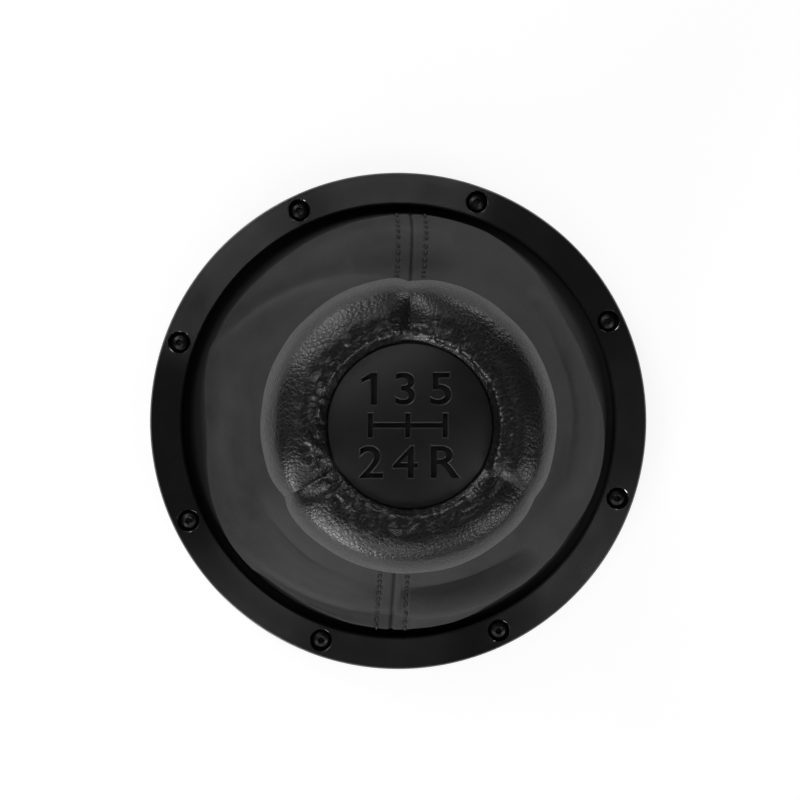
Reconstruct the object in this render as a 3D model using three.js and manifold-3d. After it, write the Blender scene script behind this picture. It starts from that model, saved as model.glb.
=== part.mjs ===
// Gear lever gaiter for the centre console of a car: a turned bezel ring held by eight screws, a leather
// gaiter sewn from two panels and clamped under the bezel, and the leather covered gear knob that its neck
// is strapped to. Millimetres. +Z runs up the gear lever, +Y forwards, and the origin is the centre of the
// seat on the console.

import * as THREE from "three";
import { mergeVertices } from "three/addons/utils/BufferGeometryUtils.js";
import Module from "manifold-3d";

const wasm = await Module();
wasm.setup();

const { MathUtils } = THREE;
const radians = MathUtils.degToRad;

// Hide and fits
const LEATHER = 1.2; // thickness of the hide, on the gaiter and on the knob
const CLEARANCE = 0.3; // between curved faces that meet

// Bezel ring, a turned cap with a flat face and a skirt that hides the clamp ring
const BEZEL_DIAMETER = 130;
const BEZEL_FACE = 8.25; // width of the flat face
const FACE_PLATE = 3.4;
const SKIRT_WALL = 1.2;
const BEZEL_CHAMFER = 0.5;

// Clamp ring, which presses the gaiter's hem against the face plate
const CLAMP_RING_HEIGHT = 3.4;

// Button head screws with a hexagon socket, sunk in counterbores
const SCREW_COUNT = 8;
const FIRST_SCREW_AZIMUTH = 25.4;
const SHANK_DIAMETER = 2.5;
const HEAD_DIAMETER = 4.7;
const HEAD_HEIGHT = 1.5;
const HEAD_RIM = 0.35; // straight wall under the domed top
const SOCKET_ACROSS_FLATS = 1.6;
const SOCKET_DEPTH = 0.9;
const COUNTERBORE_DIAMETER = 5.7;
const COUNTERBORE_DEPTH = 2;
const SHANK_END_GAP = 0.6; // from the end of the shank to the seat on the console

// Gaiter, from the flat hem through the wall and the shoulder to the roof and the neck
const SEAM_AZIMUTH = 87.5;
const WALL_GAP = 2; // between the bezel's opening and the gaiter's wall
const HEM_BEND = 1.5; // bend radius where the hem turns up into the wall
const SHOULDER_INSET = 2.35; // from the wall in to the shoulder
const SHOULDER_HEIGHT = 19;
const SHOULDER_LIFT = 0.5; // rise of the shoulder for each millimetre that it is pulled in
const SHOULDER_TURN = 2.2; // radius of the turn from the wall into the roof
const WALL_LEAN = 12; // degrees by which the wall leans in where it leaves the hem
const LEAN_FOR_PULL = 11; // more degrees of it for each millimetre that the shoulder is pulled in
const WALL_FULLNESS = 10;
const ROOF_FULLNESS = 32;
const ROOF_SLOPE = 44; // degrees above the horizon at the shoulder
const NECK_FULLNESS = 34;
const SEAM_DIP = 0.7;
const SEAM_ROLL = 1; // width of the rolled edge beside a seam
const SEAM_ALLOWANCE = 6; // width of the hide turned back inside a seam
const ALLOWANCE_STEP = 0.3;
const PLEAT_COUNT = 13;
const PLEAT_DEPTH = 0.55;
const PLEAT_LENGTH = 22;

// Stretches where the leather is pulled tight and the shoulder runs straighter: azimuth and spread in
// degrees
const TAUT_SPANS = [
  { azimuth: 26, spread: 23, pull: 4.6 },
  { azimuth: 130, spread: 32, pull: 2.5 },
  { azimuth: 184, spread: 19, pull: 4.1 },
  { azimuth: 312, spread: 19, pull: 2.6 },
];

// Soft folds across the roof, each from one azimuth and inset to another, with the inset counted inwards
// from the shoulder. The bulge is how much further in a fold runs at its middle. A positive rise is a ridge.
const FOLDS = [
  { azimuths: [-24, 46], insets: [5.2, 6.4], bulge: 0, width: 2.4, rise: 1.5 },
  { azimuths: [72, 108], insets: [13.8, 13.8], bulge: 0, width: 3.4, rise: -1.2 },
  { azimuths: [74, 124], insets: [5, 6.5], bulge: 0, width: 2.2, rise: 0.7 },
  { azimuths: [94, 160], insets: [18.8, 3.2], bulge: 2.5, width: 1.9, rise: 1.7 },
  { azimuths: [162, 206], insets: [9.6, 9.8], bulge: 0, width: 3, rise: 0.9 },
  { azimuths: [206, 262], insets: [16.4, 10.2], bulge: 0, width: 1.9, rise: 1 },
  { azimuths: [216, 272], insets: [3.4, 4.6], bulge: 1.5, width: 1.9, rise: 1.6 },
  { azimuths: [270, 316], insets: [9.8, 6.2], bulge: 0, width: 1.9, rise: -2.8 },
  { azimuths: [268, 326], insets: [4.6, 2], bulge: 0, width: 1.5, rise: 1.9 },
  { azimuths: [316, 356], insets: [12.4, 11.9], bulge: 0, width: 2.6, rise: -1 },
];

// Gear knob
const KNOB_BASE_HEIGHT = 82.2; // underside of the leather above the console
const KNOB_HEIGHT = 37.4;
const KNOB_DIAMETER = 55.6;
const KNOB_BELLY = 21.8; // height of the widest circle above the knob's base
const CROWN_DIAMETER = 40.4;
const RIM_ROLL = 3.2; // height of the roll from the crown down to the cap
const KNOB_FOOT_DIAMETER = 34;
const FOOT_ROLL = 1.1;
const FOOT_TUCK = 2.6; // width of the leather turned in under the knob
const BELLY_FULLNESS = 26;
const FOOT_FULLNESS = 16;
const RIM_TUCK = 3.8; // depth of the leather in the groove round the cap
const GROOVE_BOTTOM_GAP = 0.4;
const KNOB_SEAM_COUNT = 3;
const KNOB_SEAM_AZIMUTH = 90;
const KNOB_SEAM_DIP = 1.3;
const KNOB_SEAM_SHOULDER_DIP = 0.5;
const KNOB_SEAM_ROLL = 1.2;
const KNOB_SEAM_BLEND = 3.2;

// Cap with its snap spigot
const CAP_DIAMETER = 30.5;
const CAP_THICKNESS = 2.4;
const CAP_SINK = 2.4; // from the knob's crown down to the cap's face
const CAP_CHAMFER = 0.4;
const CAP_LEATHER_GAP = 0.35;
const CAP_SEAT_MARGIN = 0.35; // by which the core's seat is smaller than the cap
const SNAP_DIAMETER = 9;
const SNAP_WALL = 1.5;
const SNAP_LENGTH = 4;
const SNAP_SLOT = 1.4;
const SNAP_FLOOR_GAP = 0.4;

// Foot of the core: spigot, threaded bush, trim ring, collar and strap
const SPIGOT_DIAMETER = 24;
const SPIGOT_LENGTH = 18.2;
const SPIGOT_BEAD = 0.7;
const SPIGOT_BEAD_HEIGHT = 1.4;
const BUSH_DIAMETER = 14;
const BUSH_BORE = 10.2;
const BUSH_DEPTH = 32; // how far the bush reaches into the core
const BUSH_FLANGE_DIAMETER = 18;
const BUSH_FLANGE = 1.5;
const BUSH_GROOVE = 0.6;
const BUSH_GROOVE_COUNT = 2;
const TRIM_RING_HEIGHT = 2.8;
const TRIM_RING_DIAMETER = 35.2;
const TRIM_RING_CHAMFER = 0.6;
const COLLAR_WALL = 2.7;
const COLLAR_WAIST = 0.5; // depth of the collar's groove under the strap
const STRAP_WIDTH = 4.6;
const STRAP_THICKNESS = 1;
const STRAP_DROP = 4.4; // from the collar's top to the strap
const NECK_TAIL = 7.7; // length of hide turned down inside the neck
const NECK_TOP_GAP = 1.2; // from the turned neck up to the trim ring

// Steps of the faceted surfaces
const RING_STEPS = 60;
const SMALL_RING_STEPS = 30;
const KNOB_CORE_STEPS = 36;
const PANEL_COLUMNS = 20; // evenly spaced, between the columns that follow the seams
const KNOB_PANEL_COLUMNS = 8;
const SCREW_STEPS = 12;
const HOLE_STEPS = 14;

const MATERIALS = {
  anodised: { color: 0x1c1c1d, roughness: 0.38, metalness: 0.9 },
  blackScrew: { color: 0x19191a, roughness: 0.35, metalness: 0.9 },
  alloy: { color: 0x8d9093, roughness: 0.5, metalness: 0.9 },
  gaiterLeather: { color: 0x2b2b2c, roughness: 0.55, metalness: 0 },
  knobLeather: { color: 0x232324, roughness: 0.62, metalness: 0 },
  satinPlastic: { color: 0x151516, roughness: 0.4, metalness: 0 },
  mouldedPlastic: { color: 0x1d1d1e, roughness: 0.65, metalness: 0 },
  brass: { color: 0xb08d4a, roughness: 0.35, metalness: 1 },
};

// Heights and radii that follow from the driving dimensions
const hemTop = CLAMP_RING_HEIGHT + LEATHER;
const bezelTop = hemTop + FACE_PLATE;
const openingRadius = BEZEL_DIAMETER / 2 - BEZEL_FACE;
const skirtInside = BEZEL_DIAMETER / 2 - SKIRT_WALL;
const wallRadius = openingRadius - WALL_GAP;
const hemBendCentre = wallRadius + HEM_BEND;
const shoulderRadius = wallRadius - SHOULDER_INSET;
const screwCircle = (BEZEL_DIAMETER - BEZEL_FACE) / 2;
const headSeat = bezelTop - COUNTERBORE_DEPTH;
const spigotRadius = SPIGOT_DIAMETER / 2;
const spigotBottom = KNOB_BASE_HEIGHT + LEATHER + CLEARANCE - SPIGOT_LENGTH - BUSH_FLANGE;
const trimRingBottom = KNOB_BASE_HEIGHT - TRIM_RING_HEIGHT;
const collarBore = spigotRadius + CLEARANCE;
const collarRadius = collarBore + COLLAR_WALL;
const collarBottom = spigotBottom + 2 * SPIGOT_BEAD_HEIGHT;
const strapTop = trimRingBottom - STRAP_DROP;
const innerNeckRadius = collarRadius + CLEARANCE;
const strapBore = innerNeckRadius + LEATHER + CLEARANCE;
const outerNeckRadius = strapBore + STRAP_THICKNESS + CLEARANCE + LEATHER;
const neckFoldRadius = (outerNeckRadius - innerNeckRadius) / 2;
const neckFoldHeight = trimRingBottom - NECK_TOP_GAP - neckFoldRadius;
const roofTop = neckFoldHeight - NECK_TAIL - LEATHER;
const knobTop = KNOB_BASE_HEIGHT + KNOB_HEIGHT;
const bellyHeight = KNOB_BASE_HEIGHT + KNOB_BELLY;
const capTop = knobTop - CAP_SINK;
const capSeat = capTop - CAP_THICKNESS;
const rimRadius = CAP_DIAMETER / 2 + CAP_LEATHER_GAP;
const rimTuckBottom = knobTop - RIM_ROLL - RIM_TUCK;


// A closed solid from a three.js geometry, for joining and cutting
function solidOf(geometry) {
  const bare = geometry.clone();
  bare.deleteAttribute("normal");
  bare.deleteAttribute("uv");
  const merged = mergeVertices(bare, 1e-4);
  return new wasm.Manifold(
    new wasm.Mesh({
      numProp: 3,
      vertProperties: new Float32Array(merged.attributes.position.array),
      triVerts: new Uint32Array(merged.index.array),
    }),
  );
}

// The solid's own mesh as a three.js geometry
function geometryOf(solid) {
  const mesh = solid.getMesh();
  const geometry = new THREE.BufferGeometry();
  geometry.setAttribute("position", new THREE.BufferAttribute(mesh.vertProperties, 3));
  geometry.setIndex(new THREE.BufferAttribute(mesh.triVerts, 1));
  geometry.computeVertexNormals();
  return geometry;
}

// A profile of [radius, height] pairs turned about +Z. It starts and ends on the axis, or closes on itself.
function turned(profile, steps) {
  const points = profile.map(([radius, height]) => new THREE.Vector2(radius, height));
  return new THREE.LatheGeometry(points, steps).rotateX(Math.PI / 2);
}

// A turned solid whose profile changes with the azimuth, though not its number of points
function turnedUnevenly(profileAt, steps) {
  const geometry = turned(profileAt(0), steps);
  const position = geometry.attributes.position;
  const rows = profileAt(0).length;
  for (let i = 0; i < position.count; i++) {
    const azimuth = (2 * Math.PI * Math.floor(i / rows)) / steps - Math.PI / 2;
    const [radius, height] = profileAt(azimuth)[i % rows];
    position.setXYZ(i, radius * Math.cos(azimuth), radius * Math.sin(azimuth), height);
  }
  return geometry;
}

// A ring whose section is a closed outline of [radius, height] pairs
function turnedRing(outline, steps) {
  return turned([...outline, outline[0]], steps);
}

// An upright cylinder from one height to another, to cut with
function pin(radius, bottom, top, steps) {
  return new THREE.CylinderGeometry(radius, radius, top - bottom, steps)
    .rotateX(Math.PI / 2)
    .translate(0, 0, (bottom + top) / 2);
}

// The same cutter at each screw's place
function cutAtScrews(solid, cutter) {
  for (let i = 0; i < SCREW_COUNT; i++) {
    const [x, y] = screwPlace(i);
    solid = solid.subtract(cutter.translate([x, y, 0]));
  }
  return solid;
}

function screwAzimuth(i) {
  return radians(FIRST_SCREW_AZIMUTH + (360 * i) / SCREW_COUNT);
}

function screwPlace(i) {
  return [screwCircle * Math.cos(screwAzimuth(i)), screwCircle * Math.sin(screwAzimuth(i))];
}

// Points from a to b on a cubic that leaves a along the first tangent and reaches b along the second. The
// point a itself is left out, so that stretches can be joined.
function curve(a, leaving, b, arriving, steps) {
  const points = [];
  for (let i = 1; i <= steps; i++) {
    const t = i / steps;
    const blend = (k) =>
      (2 * t ** 3 - 3 * t ** 2 + 1) * a[k] +
      (t ** 3 - 2 * t ** 2 + t) * leaving[k] +
      (3 * t ** 2 - 2 * t ** 3) * b[k] +
      (t ** 3 - t ** 2) * arriving[k];
    points.push([blend(0), blend(1)]);
  }
  return points;
}

// Points of an elliptic arc about a centre, from one angle to another in degrees, without its first point
function arc(centre, radii, from, to, steps) {
  return Array.from({ length: steps }, (_, i) => {
    const angle = radians(from + ((to - from) * (i + 1)) / steps);
    return [centre[0] + radii[0] * Math.cos(angle), centre[1] + radii[1] * Math.sin(angle)];
  });
}

// The unit vector square to a path at each of its points, pointing left of the way the path runs
function leftNormals(path) {
  return path.map((_, i) => {
    const before = path[Math.max(i - 1, 0)];
    const after = path[Math.min(i + 1, path.length - 1)];
    const [along, up] = [after[0] - before[0], after[1] - before[1]];
    const length = Math.hypot(along, up);
    return [-up / length, along / length];
  });
}

// The path moved to its left, by one distance or by a distance for each point
function offset(path, distance) {
  return leftNormals(path).map((normal, i) => {
    const by = typeof distance === "number" ? distance : distance[i];
    return [path[i][0] + normal[0] * by, path[i][1] + normal[1] * by];
  });
}

// Azimuths of a sewn panel's columns at one radius. The first and last few keep their distance in
// millimetres from the seams, and the others are spread evenly between them.
function panelAzimuths(start, sweep, radius, seamDistances, evenColumns) {
  const near = seamDistances.map((distance) => distance / radius);
  const last = near[near.length - 1];
  const between = Array.from(
    { length: evenColumns },
    (_, i) => last + ((sweep - 2 * last) * (i + 1)) / (evenColumns + 1),
  );
  const far = near.map((azimuth) => sweep - azimuth).reverse();
  return [...near, ...between, ...far].map((azimuth) => start + azimuth);
}

// A closed skin between two grids of [x, y, z] points with the same rows and columns
function skin(outer, inner) {
  const [rows, columns] = [outer.length, outer[0].length];
  const positions = [...outer.flat(2), ...inner.flat(2)];
  const index = (side, row, column) => side * rows * columns + row * columns + column;
  const faces = [];
  const quad = (a, b, c, d) => faces.push(a, b, c, a, c, d);
  for (let r = 0; r + 1 < rows; r++)
    for (let c = 0; c + 1 < columns; c++) {
      quad(index(0, r, c), index(0, r, c + 1), index(0, r + 1, c + 1), index(0, r + 1, c));
      quad(index(1, r, c), index(1, r + 1, c), index(1, r + 1, c + 1), index(1, r, c + 1));
    }
  for (let r = 0; r + 1 < rows; r++) {
    const end = columns - 1;
    quad(index(0, r, 0), index(0, r + 1, 0), index(1, r + 1, 0), index(1, r, 0));
    quad(index(0, r, end), index(1, r, end), index(1, r + 1, end), index(0, r + 1, end));
  }
  for (let c = 0; c + 1 < columns; c++) {
    const end = rows - 1;
    quad(index(0, 0, c), index(1, 0, c), index(1, 0, c + 1), index(0, 0, c + 1));
    quad(index(0, end, c), index(0, end, c + 1), index(1, end, c + 1), index(1, end, c));
  }
  const geometry = new THREE.BufferGeometry();
  geometry.setAttribute("position", new THREE.Float32BufferAttribute(positions, 3));
  geometry.setIndex(faces);
  geometry.computeVertexNormals();
  return geometry;
}

// A panel of hide. pathAt gives its outer path at an azimuth, and columnAt what happens at a column: how
// far its edge dips, and how many layers of hide lie there.
function hidePanel(start, sweep, seamDistances, evenColumns, pathAt, columnAt) {
  const columns = 2 * seamDistances.length + evenColumns;
  const middlePath = pathAt(start + sweep / 2);
  const outer = middlePath.map(() => []);
  const inner = middlePath.map(() => []);
  for (let c = 0; c < columns; c++) {
    const fromSeam = Math.min(c, columns - 1 - c);
    middlePath.forEach((middlePoint, r) => {
      const azimuth = panelAzimuths(start, sweep, middlePoint[0], seamDistances, evenColumns)[c];
      const path = pathAt(azimuth);
      const { dip, layers } = columnAt(fromSeam, path);
      const face = offset(path, dip)[r];
      const back = offset(path, dip.map((by, i) => by + LEATHER * layers[i]))[r];
      outer[r].push([face[0] * Math.cos(azimuth), face[0] * Math.sin(azimuth), face[1]]);
      inner[r].push([back[0] * Math.cos(azimuth), back[0] * Math.sin(azimuth), back[1]]);
    });
  }
  return skin(outer, inner);
}

// Degrees from one azimuth to another the short way round, both in degrees
function turnBetween(from, to) {
  return MathUtils.euclideanModulo(to - from + 180, 360) - 180;
}

// How far the leather stands out from the plain roof at an azimuth in degrees and a plan radius
function foldRise(azimuth, radius) {
  return FOLDS.reduce((sum, fold) => {
    const [first, last] = fold.azimuths;
    const share = (turnBetween((first + last) / 2, azimuth) + (last - first) / 2) / (last - first);
    if (share <= 0 || share >= 1) return sum;
    const inset = MathUtils.lerp(fold.insets[0], fold.insets[1], share) + 4 * fold.bulge * share * (1 - share);
    const centre = shoulderRadius - inset;
    const across = Math.exp(-(((radius - centre) / fold.width) ** 2));
    return sum + fold.rise * Math.sqrt(Math.sin(Math.PI * share)) * across;
  }, 0);
}

// The gaiter's outer path at an azimuth, from the edge of the hem to the end of the tail turned in at the
// neck
function gaiterPath(azimuthRadians) {
  const azimuth = MathUtils.radToDeg(azimuthRadians);
  const pulled = TAUT_SPANS.reduce(
    (sum, span) => sum + span.pull * Math.exp(-((turnBetween(span.azimuth, azimuth) / span.spread) ** 2)),
    0,
  );
  const lean = WALL_LEAN + LEAN_FOR_PULL * pulled;
  const towards = (degrees, length) => [
    -Math.sin(radians(degrees)) * length,
    Math.cos(radians(degrees)) * length,
  ];
  const hemBend = arc([hemBendCentre, hemTop + HEM_BEND], [HEM_BEND, HEM_BEND], -90, lean - 180, 2);
  const shoulder = [shoulderRadius - pulled, SHOULDER_HEIGHT + pulled * SHOULDER_LIFT];
  const turn = (centre, steps) => arc(centre, [SHOULDER_TURN, SHOULDER_TURN], 0, 90 - ROOF_SLOPE, steps);
  const [turnEnd] = turn([0, 0], 1);
  const turnCentre = [shoulder[0] - turnEnd[0], shoulder[1] - turnEnd[1]];
  const turnStart = [turnCentre[0] + SHOULDER_TURN, turnCentre[1]];
  const wall = curve(hemBend[1], towards(lean, WALL_FULLNESS), turnStart, [0, WALL_FULLNESS], 2);
  const neckStart = [outerNeckRadius, roofTop];
  const roof = curve(shoulder, towards(90 - ROOF_SLOPE, ROOF_FULLNESS), neckStart, [0, NECK_FULLNESS], 9);
  const plain = [...wall, ...turn(turnCentre, 2), ...roof];
  const normals = leftNormals(plain);
  const folded = plain.map(([radius, height], i) => {
    const rise = foldRise(azimuth, radius);
    const pleatMiddle = roofTop - PLEAT_LENGTH / 2;
    const pleatShare = Math.max(1 - Math.abs(height - pleatMiddle) / (PLEAT_LENGTH / 2), 0);
    const pleat = PLEAT_DEPTH * pleatShare * Math.cos(PLEAT_COUNT * azimuthRadians);
    return [radius - normals[i][0] * rise + pleat, height - normals[i][1] * rise];
  });
  const hemEdge = skirtInside - 2 * CLEARANCE;
  return [
    [hemEdge, hemTop],
    [hemBendCentre, hemTop],
    ...hemBend,
    ...folded,
    [outerNeckRadius, neckFoldHeight],
    ...arc([outerNeckRadius - neckFoldRadius, neckFoldHeight], [neckFoldRadius, neckFoldRadius], 0, 180, 3),
    [innerNeckRadius, neckFoldHeight - NECK_TAIL],
  ];
}

// Rolled edges dip into the seam, and the seam allowance is a second layer of hide behind the first, both
// only between the wall and the neck
function gaiterColumn(fromSeam, path) {
  const free = path.map(([, height], i) => i > 3 && height < roofTop - LEATHER && i < path.length - 5);
  const dip = free.map((isFree) => (isFree && fromSeam === 0 ? SEAM_DIP : 0));
  const layers = free.map((isFree) => (isFree && fromSeam < 3 ? 2 : 1));
  return { dip, layers };
}

function gaiterPanel(startDegrees) {
  const distances = [0, SEAM_ROLL, SEAM_ALLOWANCE, SEAM_ALLOWANCE + ALLOWANCE_STEP];
  const start = radians(startDegrees);
  const panel = hidePanel(start, Math.PI, distances, PANEL_COLUMNS, gaiterPath, gaiterColumn);
  const hole = solidOf(pin(SHANK_DIAMETER / 2 + CLEARANCE, 0, bezelTop, HOLE_STEPS));
  return geometryOf(cutAtScrews(solidOf(panel), hole));
}

// The outer face of the knob's leather, from the tuck under its foot up to the tuck in the groove round
// the cap
function knobPath() {
  const foot = KNOB_FOOT_DIAMETER / 2;
  const crown = CROWN_DIAMETER / 2;
  const belly = KNOB_DIAMETER / 2;
  const footTop = [foot + FOOT_ROLL, KNOB_BASE_HEIGHT + FOOT_ROLL];
  const rimHeight = knobTop - RIM_ROLL;
  return [
    [foot - FOOT_TUCK, KNOB_BASE_HEIGHT],
    [foot, KNOB_BASE_HEIGHT],
    footTop,
    ...curve(footTop, [FOOT_FULLNESS / 2, FOOT_FULLNESS], [belly, bellyHeight], [0, BELLY_FULLNESS], 5),
    ...arc([crown, bellyHeight], [belly - crown, knobTop - bellyHeight], 0, 90, 5),
    ...arc([crown, rimHeight], [crown - rimRadius, RIM_ROLL], 90, 180, 3),
    [rimRadius, rimTuckBottom],
  ];
}

// Rolled edges sink between the lobes of the knob's cover
function knobColumn(fromSeam, path) {
  const dips = [KNOB_SEAM_DIP, KNOB_SEAM_SHOULDER_DIP];
  const last = path.length - 1;
  const dip = path.map((_, i) => (i > 1 && i < last - 1 ? (dips[fromSeam] ?? 0) : 0));
  return { dip, layers: path.map(() => 1) };
}

function knobPanel(startDegrees) {
  const sweep = (2 * Math.PI) / KNOB_SEAM_COUNT;
  const distances = [0, KNOB_SEAM_ROLL, KNOB_SEAM_BLEND];
  return hidePanel(radians(startDegrees), sweep, distances, KNOB_PANEL_COLUMNS, knobPath, knobColumn);
}

// How far the knob's leather sinks at a distance in millimetres from the nearest seam
function seamSink(distance) {
  const beside = MathUtils.mapLinear(distance, 0, KNOB_SEAM_ROLL, KNOB_SEAM_DIP, KNOB_SEAM_SHOULDER_DIP);
  const beyond = MathUtils.mapLinear(distance, KNOB_SEAM_ROLL, KNOB_SEAM_BLEND, KNOB_SEAM_SHOULDER_DIP, 0);
  return Math.max(beside, beyond, 0);
}

// The core that the leather is stretched over, with a groove under each seam, a seat for the cap, and the
// spigot
function coreProfile(azimuth) {
  const pitch = (2 * Math.PI) / KNOB_SEAM_COUNT;
  const fromSeam = MathUtils.euclideanModulo(azimuth - radians(KNOB_SEAM_AZIMUTH) + pitch / 2, pitch) - pitch / 2;
  const path = knobPath();
  const inset = path.map(([radius], i) => {
    const sink = i > 0 && i < path.length - 1 ? seamSink(Math.abs(fromSeam) * radius) : 0;
    return LEATHER + CLEARANCE + sink;
  });
  const under = offset(path, inset);
  const seatRadius = CAP_DIAMETER / 2 - CAP_SEAT_MARGIN;
  const boreRadius = BUSH_DIAMETER / 2 + CLEARANCE;
  const bushTop = spigotBottom + BUSH_DEPTH + CLEARANCE;
  const grooveBottom = rimTuckBottom - GROOVE_BOTTOM_GAP;
  const snapRadius = SNAP_DIAMETER / 2 + CLEARANCE;
  const snapFloor = capSeat - SNAP_LENGTH - SNAP_FLOOR_GAP;
  return [
    [0, bushTop],
    [boreRadius, bushTop],
    [boreRadius, spigotBottom],
    [spigotRadius, spigotBottom],
    [spigotRadius + SPIGOT_BEAD, spigotBottom + SPIGOT_BEAD_HEIGHT / 2],
    [spigotRadius + SPIGOT_BEAD, spigotBottom + SPIGOT_BEAD_HEIGHT],
    [spigotRadius, spigotBottom + 1.5 * SPIGOT_BEAD_HEIGHT],
    [spigotRadius, under[0][1]],
    ...under.slice(0, -1),
    [under[under.length - 1][0], grooveBottom],
    [seatRadius, grooveBottom],
    [seatRadius, capSeat],
    [snapRadius, capSeat],
    [snapRadius, snapFloor],
    [0, snapFloor],
  ];
}

function cap() {
  const radius = CAP_DIAMETER / 2;
  const snapOutside = SNAP_DIAMETER / 2;
  const snapInside = snapOutside - SNAP_WALL;
  const disc = turned(
    [
      [0, capSeat],
      [snapInside, capSeat],
      [snapInside, capSeat - SNAP_LENGTH],
      [snapOutside, capSeat - SNAP_LENGTH],
      [snapOutside, capSeat],
      [radius, capSeat],
      [radius, capTop - CAP_CHAMFER],
      [radius - CAP_CHAMFER, capTop],
      [0, capTop],
    ],
    KNOB_CORE_STEPS,
  );
  const slot = new THREE.BoxGeometry(2 * SNAP_DIAMETER, SNAP_SLOT, 2 * SNAP_LENGTH);
  slot.translate(0, 0, capSeat - SNAP_LENGTH);
  const cross = slot.clone().rotateZ(Math.PI / 2);
  return geometryOf(solidOf(disc).subtract(solidOf(slot)).subtract(solidOf(cross)));
}

// Brass bush with a bore for the lever's thread, a flange under the spigot, and grooves that the plastic
// grips
function bush() {
  const radius = BUSH_DIAMETER / 2;
  const flange = BUSH_FLANGE_DIAMETER / 2;
  const top = spigotBottom + BUSH_DEPTH;
  const pitch = BUSH_DEPTH / (BUSH_GROOVE_COUNT + 1);
  const grooves = [];
  for (let i = 1; i <= BUSH_GROOVE_COUNT; i++) {
    const middle = spigotBottom + i * pitch;
    grooves.push([radius, middle - pitch / 4], [radius - BUSH_GROOVE, middle - pitch / 8]);
    grooves.push([radius - BUSH_GROOVE, middle + pitch / 8], [radius, middle + pitch / 4]);
  }
  return turnedRing(
    [
      [BUSH_BORE / 2, spigotBottom - BUSH_FLANGE],
      [flange, spigotBottom - BUSH_FLANGE],
      [flange, spigotBottom],
      [radius, spigotBottom],
      ...grooves,
      [radius, top],
      [BUSH_BORE / 2, top],
    ],
    SMALL_RING_STEPS,
  );
}

function trimRing() {
  const radius = TRIM_RING_DIAMETER / 2;
  return turnedRing(
    [
      [collarBore, trimRingBottom],
      [radius - TRIM_RING_CHAMFER, trimRingBottom],
      [radius, trimRingBottom + TRIM_RING_CHAMFER],
      [radius, KNOB_BASE_HEIGHT],
      [collarBore, KNOB_BASE_HEIGHT],
    ],
    KNOB_CORE_STEPS,
  );
}

function collar() {
  const waist = collarRadius - COLLAR_WAIST;
  const strapBottom = strapTop - STRAP_WIDTH;
  return turnedRing(
    [
      [collarBore, collarBottom],
      [collarRadius, collarBottom],
      [collarRadius, strapBottom - COLLAR_WAIST],
      [waist, strapBottom],
      [waist, strapTop],
      [collarRadius, strapTop + COLLAR_WAIST],
      [collarRadius, trimRingBottom],
      [collarBore, trimRingBottom],
    ],
    SMALL_RING_STEPS,
  );
}

function strap() {
  return turnedRing(
    [
      [strapBore, strapTop - STRAP_WIDTH],
      [strapBore + STRAP_THICKNESS, strapTop - STRAP_WIDTH],
      [strapBore + STRAP_THICKNESS, strapTop],
      [strapBore, strapTop],
    ],
    SMALL_RING_STEPS,
  );
}

function bezelRing() {
  const radius = BEZEL_DIAMETER / 2;
  const ring = turnedRing(
    [
      [openingRadius, hemTop],
      [skirtInside, hemTop],
      [skirtInside, 0],
      [radius, 0],
      [radius, bezelTop - BEZEL_CHAMFER],
      [radius - BEZEL_CHAMFER, bezelTop],
      [openingRadius + BEZEL_CHAMFER, bezelTop],
      [openingRadius, bezelTop - BEZEL_CHAMFER],
    ],
    RING_STEPS,
  );
  const hole = solidOf(pin(SHANK_DIAMETER / 2 + CLEARANCE, 0, bezelTop, HOLE_STEPS));
  const counterbore = solidOf(pin(COUNTERBORE_DIAMETER / 2, headSeat, bezelTop + COUNTERBORE_DEPTH, HOLE_STEPS));
  return geometryOf(cutAtScrews(solidOf(ring), hole.add(counterbore)));
}

function clampRing() {
  const outside = skirtInside - CLEARANCE;
  const inside = hemBendCentre + CLEARANCE;
  const ring = turnedRing(
    [
      [inside, 0],
      [outside, 0],
      [outside, CLAMP_RING_HEIGHT],
      [inside, CLAMP_RING_HEIGHT],
    ],
    RING_STEPS,
  );
  const hole = solidOf(pin(SHANK_DIAMETER / 2 + CLEARANCE, -CLAMP_RING_HEIGHT, bezelTop, HOLE_STEPS));
  return geometryOf(cutAtScrews(solidOf(ring), hole));
}

// One screw, with the underside of its head at height 0
function screw() {
  const head = HEAD_DIAMETER / 2;
  const shank = SHANK_DIAMETER / 2;
  const end = SHANK_END_GAP - headSeat;
  const body = turned(
    [
      [0, end],
      [shank * 0.7, end],
      [shank, end + shank * 0.3],
      [shank, 0],
      [head, 0],
      [head, HEAD_RIM],
      ...arc([0, HEAD_RIM], [head, HEAD_HEIGHT - HEAD_RIM], 0, 90, 3).slice(0, -1),
      [0, HEAD_HEIGHT],
    ],
    SCREW_STEPS,
  );
  const corner = SOCKET_ACROSS_FLATS / Math.sqrt(3);
  const socket = pin(corner, HEAD_HEIGHT - SOCKET_DEPTH, 2 * HEAD_HEIGHT, 6);
  return geometryOf(solidOf(body).subtract(solidOf(socket)));
}

const part = new THREE.Group();

function place(name, geometry, material) {
  const mesh = new THREE.Mesh(geometry, new THREE.MeshStandardMaterial(MATERIALS[material]));
  mesh.name = name;
  part.add(mesh);
  return mesh;
}

place("bezel_ring", bezelRing(), "anodised");
place("clamp_ring", clampRing(), "alloy");
for (let i = 0; i < SCREW_COUNT; i++) {
  const mesh = place(`bezel_screw_${i + 1}`, screw(), "blackScrew");
  mesh.position.set(...screwPlace(i), headSeat);
  mesh.rotation.z = screwAzimuth(i);
}

place("gaiter_left_panel", gaiterPanel(SEAM_AZIMUTH), "gaiterLeather");
place("gaiter_right_panel", gaiterPanel(SEAM_AZIMUTH + 180), "gaiterLeather");
place("gaiter_collar", collar(), "mouldedPlastic");
place("gaiter_strap", strap(), "mouldedPlastic");

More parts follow.
